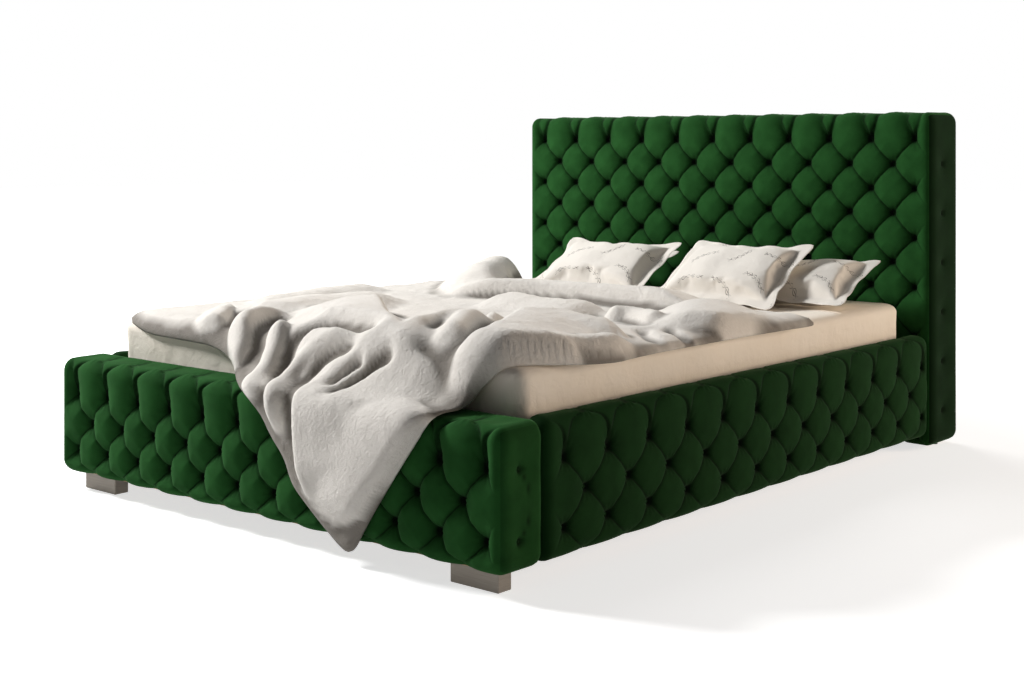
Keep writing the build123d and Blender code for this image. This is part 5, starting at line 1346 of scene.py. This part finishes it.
def hardboard():
    """Pressed wood fibre: brown, flecked, smooth but not glossy."""
    material, tree, place = new_material("pressed_fibreboard")
    fleck = put(tree, "ShaderNodeTexNoise", {"Vector": place, "Scale": per_metre(5), "Detail": 5.0})
    cloud = put(tree, "ShaderNodeTexNoise", {"Vector": place, "Scale": per_metre(120), "Detail": 2.0})
    mixed = put(tree, "ShaderNodeMath", {0: fleck.outputs["Fac"], 1: cloud.outputs["Fac"], 2: 0.2},
                operation="MULTIPLY_ADD")
    tone = put(tree, "ShaderNodeMix", {"A": linear("#7A5A3C"), "B": linear("#A98560"),
                                       "Factor": mixed.outputs["Value"]}, data_type="RGBA")
    pits = put(tree, "ShaderNodeBump", {"Height": fleck.outputs["Fac"], "Strength": 0.2,
                                        "Distance": 0.0005})
    shader = put(tree, "ShaderNodeBsdfPrincipled", {
        "Base Color": tone.outputs["Result"], "Roughness": 0.7, "Normal": pits.outputs["Normal"]})
    put(tree, "ShaderNodeOutputMaterial", {"Surface": shader.outputs["BSDF"]})
    return material


SPRUCE_PALE, SPRUCE_DARK = "#CDAE82", "#A8814F"
SPRUCE_X, SPRUCE_Y, SPRUCE_Z = (
    grained_wood("planed_spruce_" + way, SPRUCE_PALE, SPRUCE_DARK, axis, ring_mm=16, roughness=0.7)
    for way, axis in (("across", "x"), ("along", "y"), ("upright", "z")))
BEECH = grained_wood("bent_beech_laminate", "#DDB98A", "#C79A66", "x", ring_mm=9, roughness=0.45)
HARDBOARD = hardboard()
print("wood:", SPRUCE_X.name, BEECH.name, HARDBOARD.name)

# %% [markdown]
# The feet are brushed stainless sheet, brackets, bolts and hinges are zinc plated, the lifting
# frame is powder coated tube, and the struts are painted cylinders with chromed rods. A metal's
# look is its roughness more than its colour, so a pattern drives the roughness.

# %% Metal
def brushed_steel_foot():
    """Brushed stainless sheet with a grey-brown tint: fine lines along the foot, soft highlights."""
    material, tree, place = new_material("brushed_steel")
    drawn = put(tree, "ShaderNodeMapping", {"Vector": place, "Scale": (0.02, 0.02, 1.0)})
    # brush lines of a tenth of a millimetre are drawn at 1 mm so that they show
    lines = put(tree, "ShaderNodeTexNoise", {
        "Vector": drawn.outputs["Vector"], "Scale": per_metre(1.0), "Detail": 4.0})
    tone = put(tree, "ShaderNodeMix", {"A": linear("#5E5850"), "B": linear("#847D74"),
                                       "Factor": lines.outputs["Fac"]}, data_type="RGBA")
    matt = put(tree, "ShaderNodeMapRange", {"Value": lines.outputs["Fac"], "To Min": 0.36,
                                            "To Max": 0.52})
    cut = put(tree, "ShaderNodeBump", {"Height": lines.outputs["Fac"], "Strength": 0.15,
                                       "Distance": 0.0003})
    shader = put(tree, "ShaderNodeBsdfPrincipled", {
        "Base Color": tone.outputs["Result"], "Metallic": 0.75, "Roughness": matt.outputs["Result"],
        "Normal": cut.outputs["Normal"]})
    put(tree, "ShaderNodeOutputMaterial", {"Surface": shader.outputs["BSDF"]})
    return material


def zinc_plate():
    """Bright zinc on pressed steel: bluish grey, cloudy, with small crystals."""
    material, tree, place = new_material("zinc_plated_steel")
    cells = put(tree, "ShaderNodeTexVoronoi", {"Vector": place, "Scale": per_metre(4)})
    cloud = put(tree, "ShaderNodeTexNoise", {"Vector": place, "Scale": per_metre(18), "Detail": 3.0})
    tone = put(tree, "ShaderNodeMix", {"A": linear("#A9AEB3"), "B": linear("#C9CCCE"),
                                       "Factor": cloud.outputs["Fac"]}, data_type="RGBA")
    matt = put(tree, "ShaderNodeMapRange", {"Value": cells.outputs["Distance"], "To Min": 0.28,
                                            "To Max": 0.46})
    shader = put(tree, "ShaderNodeBsdfPrincipled", {
        "Base Color": tone.outputs["Result"], "Metallic": 1.0, "Roughness": matt.outputs["Result"]})
    put(tree, "ShaderNodeOutputMaterial", {"Surface": shader.outputs["BSDF"]})
    return material


def painted_steel(name, low_tone, high_tone, roughness):
    """Powder coat: an even colour with the fine pebble of melted powder."""
    material, tree, place = new_material(name)
    pebble = put(tree, "ShaderNodeTexNoise", {"Vector": place, "Scale": per_metre(2.5), "Detail": 2.0})
    cloud = put(tree, "ShaderNodeTexNoise", {"Vector": place, "Scale": per_metre(60), "Detail": 3.0})
    tone = put(tree, "ShaderNodeMix", {"A": linear(low_tone), "B": linear(high_tone),
                                       "Factor": cloud.outputs["Fac"]}, data_type="RGBA")
    skin = put(tree, "ShaderNodeBump", {"Height": pebble.outputs["Fac"], "Strength": 0.2,
                                        "Distance": 0.0004})
    shader = put(tree, "ShaderNodeBsdfPrincipled", {
        "Base Color": tone.outputs["Result"], "Roughness": roughness, "Normal": skin.outputs["Normal"]})
    put(tree, "ShaderNodeOutputMaterial", {"Surface": shader.outputs["BSDF"]})
    return material


def chrome_rod():
    """Hard chrome, ground and polished: mirror bright, with faint grinding marks."""
    material, tree, place = new_material("ground_chrome")
    # grinding marks of a few hundredths of a millimetre are drawn at 1.2 mm so that they show
    lines = put(tree, "ShaderNodeTexNoise", {"Vector": place, "Scale": per_metre(1.2), "Detail": 3.0})
    tone = put(tree, "ShaderNodeMix", {"A": linear("#C8CBD0"), "B": linear("#E2E4E7"),
                                       "Factor": lines.outputs["Fac"]}, data_type="RGBA")
    matt = put(tree, "ShaderNodeMapRange", {"Value": lines.outputs["Fac"], "To Min": 0.06,
                                            "To Max": 0.16})
    shader = put(tree, "ShaderNodeBsdfPrincipled", {
        "Base Color": tone.outputs["Result"], "Metallic": 1.0, "Roughness": matt.outputs["Result"]})
    put(tree, "ShaderNodeOutputMaterial", {"Surface": shader.outputs["BSDF"]})
    return material


BRUSHED = brushed_steel_foot()
ZINC = zinc_plate()
TUBE_GREY = painted_steel("grey_powder_coat", "#565A5D", "#6B6F72", roughness=0.45)
STRUT_BLACK = painted_steel("black_paint_on_steel", "#151617", "#26282A", roughness=0.35)
CHROME = chrome_rod()
print("metal:", BRUSHED.name, ZINC.name, TUBE_GREY.name, STRUT_BLACK.name, CHROME.name)

# %% [markdown]
# Glides, legs and slat caps are moulded plastic, the base lies on rubber, and a black dust cloth
# closes the headboard's back. All are dark and matt, so a fine grain in the bump tells them apart.

# %% Plastic, rubber and back cloth
def moulded(name, low_tone, high_tone, grain_mm, roughness):
    """Moulded plastic or rubber: even, with a fine eroded grain, drawn coarse enough to show."""
    material, tree, place = new_material(name)
    grain = put(tree, "ShaderNodeTexVoronoi", {"Vector": place, "Scale": per_metre(grain_mm)})
    wear = put(tree, "ShaderNodeTexNoise", {"Vector": place, "Scale": per_metre(14), "Detail": 3.0})
    tone = put(tree, "ShaderNodeMix", {"A": linear(low_tone), "B": linear(high_tone),
                                       "Factor": wear.outputs["Fac"]}, data_type="RGBA")
    skin = put(tree, "ShaderNodeBump", {"Height": grain.outputs["Distance"], "Strength": 0.25,
                                        "Distance": 0.0004})
    shader = put(tree, "ShaderNodeBsdfPrincipled", {
        "Base Color": tone.outputs["Result"], "Roughness": roughness, "Normal": skin.outputs["Normal"]})
    put(tree, "ShaderNodeOutputMaterial", {"Surface": shader.outputs["BSDF"]})
    return material


def back_felt():
    """Spun-bonded dust cloth: black, matt, pressed in a grid of small dots."""
    material, tree, place = new_material("spunbond_dust_cloth")
    # its fibres are far finer than 2 mm, which is what shows
    dots = put(tree, "ShaderNodeTexVoronoi", {"Vector": place, "Scale": per_metre(5), "Randomness": 0.1})
    fibre = put(tree, "ShaderNodeTexNoise", {"Vector": place, "Scale": per_metre(2), "Detail": 4.0})
    tone = put(tree, "ShaderNodeMix", {"A": linear("#17191A"), "B": linear("#2C2F31"),
                                       "Factor": fibre.outputs["Fac"]}, data_type="RGBA")
    pressed = put(tree, "ShaderNodeBump", {"Height": dots.outputs["Distance"], "Strength": 0.4,
                                           "Distance": 0.0008})
    shader = put(tree, "ShaderNodeBsdfPrincipled", {
        "Base Color": tone.outputs["Result"], "Roughness": 0.85, "Specular IOR Level": 0.2,
        "Normal": pressed.outputs["Normal"]})
    put(tree, "ShaderNodeOutputMaterial", {"Surface": shader.outputs["BSDF"]})
    return material


PLASTIC = moulded("black_moulded_plastic", "#141516", "#222426", grain_mm=1.5, roughness=0.5)
RUBBER = moulded("black_rubber", "#101010", "#1C1C1C", grain_mm=2.0, roughness=0.8)
BACK_FELT = back_felt()
print("others:", PLASTIC.name, RUBBER.name, BACK_FELT.name)

# %% [markdown]
# One dictionary from finish to node names puts each material on its CAD nodes, so it is easy to
# see that no node is left without one.

# %% Give every CAD node its finish
finishes = {
    SPRUCE_X: ["headboard_panel", "footboard_boards"],
    SPRUCE_Y: ["rail_board_left", "rail_board_right", "rail_ledgers", "floor_beam"],
    SPRUCE_Z: ["headboard_battens"],
    BEECH: ["slats_left", "slats_right"],
    HARDBOARD: ["floor_panel_left", "floor_panel_right"],
    BRUSHED: ["foot_left", "foot_right"],
    ZINC: ["corner_brackets", "corner_bolts", "hinge_plate_left", "hinge_plate_right", "strut_brackets"],
    TUBE_GREY: ["base_side_tube_left", "base_side_tube_right", "base_head_tube", "base_foot_tube",
                "base_center_tube", "lift_arm_left", "lift_arm_right", "strut_lugs", "mattress_stop"],
    STRUT_BLACK: ["strut_cylinder_left", "strut_cylinder_right"],
    CHROME: ["strut_rod_left", "strut_rod_right"],
    PLASTIC: ["headboard_glides", "beam_legs", "slat_caps"],
    RUBBER: ["base_rests"],
    BACK_FELT: ["headboard_back_cover"],
}
finished = 0
for material, names in finishes.items():
    for name in names:
        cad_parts[name].data.materials.clear()
        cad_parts[name].data.materials.append(material)
        finished += 1
print("finished", finished, "CAD nodes")

# %% [markdown]
# The camera stands where the photograph was taken from: level, to the right of the foot end,
# at eye height, with its picture shifted down as a view camera does to keep uprights upright.

# %% Camera
PICTURE_WIDTH = 1024
FOCAL_PIXELS = 1495.0
HORIZON_ROW = 146.57            # pixel row of the eye level in the picture
MIDDLE_ROW = 349.5
EYE_PLACE = (3.1067, -3.7354, 1.035)
EYE_TURN = math.radians(40.62)  # to the left of straight along the bed
eye = bpy.data.cameras.new("camera")
eye.sensor_width = 36.0
eye.lens = FOCAL_PIXELS / PICTURE_WIDTH * eye.sensor_width
eye.shift_y = (HORIZON_ROW - MIDDLE_ROW) / PICTURE_WIDTH
camera = bpy.data.objects.new("camera", eye)
camera.location = EYE_PLACE
camera.rotation_euler = (math.pi / 2, 0, EYE_TURN)
COLLECTION.objects.link(camera)
bpy.context.scene.camera = camera
print("camera: lens", round(eye.lens, 2), "mm")

# %% [markdown]
# The light is a soft window from the left of the foot end, so faces that look right or away
# fall into shade, as in the photograph. A weak skylight from the left of the head end keeps the
# upper faces clear, and a warm fill from the right lifts the side that the window can't reach.
# A pale world fills the shadows a little. World and floor are white to the camera, and to
# reflections, by their Light Path, and the floor keeps the shadow under the bed.

# %% Lamps
bpy.context.scene.view_settings.view_transform = "Standard"


def lamp(name, place, target, size, watts, colour="#FFFFFF"):
    """A round area lamp that looks at a target and isn't seen itself."""
    light = bpy.data.lights.new(name, "AREA")
    light.shape = "DISK"
    light.size = size
    light.energy = watts
    light.color = linear(colour)[:3]
    shown = bpy.data.objects.new(name, light)
    shown.location = place
    shown.rotation_euler = (Vector(target) - Vector(place)).to_track_quat("-Z", "Y").to_euler()
    shown.visible_camera = False
    COLLECTION.objects.link(shown)


lamp("window", place=(-4.56, -2.50, 3.95), target=(0, -0.2, 0.5), size=1.4, watts=485)
lamp("skylight", place=(-2.00, 2.50, 4.25), target=(0, 0, 0.4), size=2.5, watts=62)
lamp("warm_fill", place=(5.10, 4.30, 1.30), target=(0.6, -0.2, 0.4), size=2.8, watts=250,
     colour="#FFEBD6")
print("lamps:", [light.name for light in bpy.data.lights])

# %% World and floor
ROOM_LIGHT = 0.07               # strength of the world as light
GLOW_NEAR, GLOW_FAR = 1.7, 4.0  # metres from the bed's middle between which the floor's glow grows
GLOW_LOW = 0.66                 # strength of the glow near the bed, so that the shadow shows
FLOOR_HALF = 30.0
WHITE = (1, 1, 1, 1)


def seen(tree):
    """1 for rays that see a surface directly, mirrored or through glass, 0 for light."""
    ray = put(tree, "ShaderNodeLightPath").outputs
    value = ray["Is Camera Ray"]
    for kind in ("Is Glossy Ray", "Is Transmission Ray"):
        either = put(tree, "ShaderNodeMath", {0: value, 1: ray[kind]}, operation="MAXIMUM")
        value = either.outputs["Value"]
    return value


def studio_world():
    """White where it is seen, a pale fill as light."""
    world = bpy.data.worlds.new("studio")
    world.use_nodes = True
    tree = world.node_tree
    tree.nodes.clear()
    level = put(tree, "ShaderNodeMapRange", {"Value": seen(tree), "To Min": ROOM_LIGHT, "To Max": 1.0})
    sky = put(tree, "ShaderNodeBackground", {"Color": WHITE, "Strength": level.outputs["Result"]})
    put(tree, "ShaderNodeOutputWorld", {"Surface": sky.outputs["Background"]})
    return world


def studio_floor():
    """White to the camera far from the bed; near it the glow is lower, so that the shadow shows."""
    material, tree, place = new_material("studio_floor")
    away = put(tree, "ShaderNodeVectorMath", {0: place}, operation="LENGTH")
    near = put(tree, "ShaderNodeMapRange", {
        "Value": away.outputs["Value"], "From Min": GLOW_NEAR, "From Max": GLOW_FAR,
        "To Min": GLOW_LOW, "To Max": 1.0})
    level = put(tree, "ShaderNodeMath", {0: seen(tree), 1: near.outputs["Result"]}, operation="MULTIPLY")
    matt = put(tree, "ShaderNodeBsdfDiffuse", {"Color": linear("#E8E8E8")})
    glow = put(tree, "ShaderNodeEmission", {"Color": WHITE, "Strength": level.outputs["Value"]})
    both = put(tree, "ShaderNodeAddShader", {0: matt.outputs["BSDF"], 1: glow.outputs["Emission"]})
    put(tree, "ShaderNodeOutputMaterial", {"Surface": both.outputs["Shader"]})
    return material


bpy.context.scene.world = studio_world()
corners = [(x * FLOOR_HALF, y * FLOOR_HALF, 0) for x, y in ((-1, -1), (1, -1), (1, 1), (-1, 1))]
floor = piece_from("floor", corners, [[0, 1, 2, 3]], studio_floor())
print("floor of", 2 * FLOOR_HALF, "m under a white world")
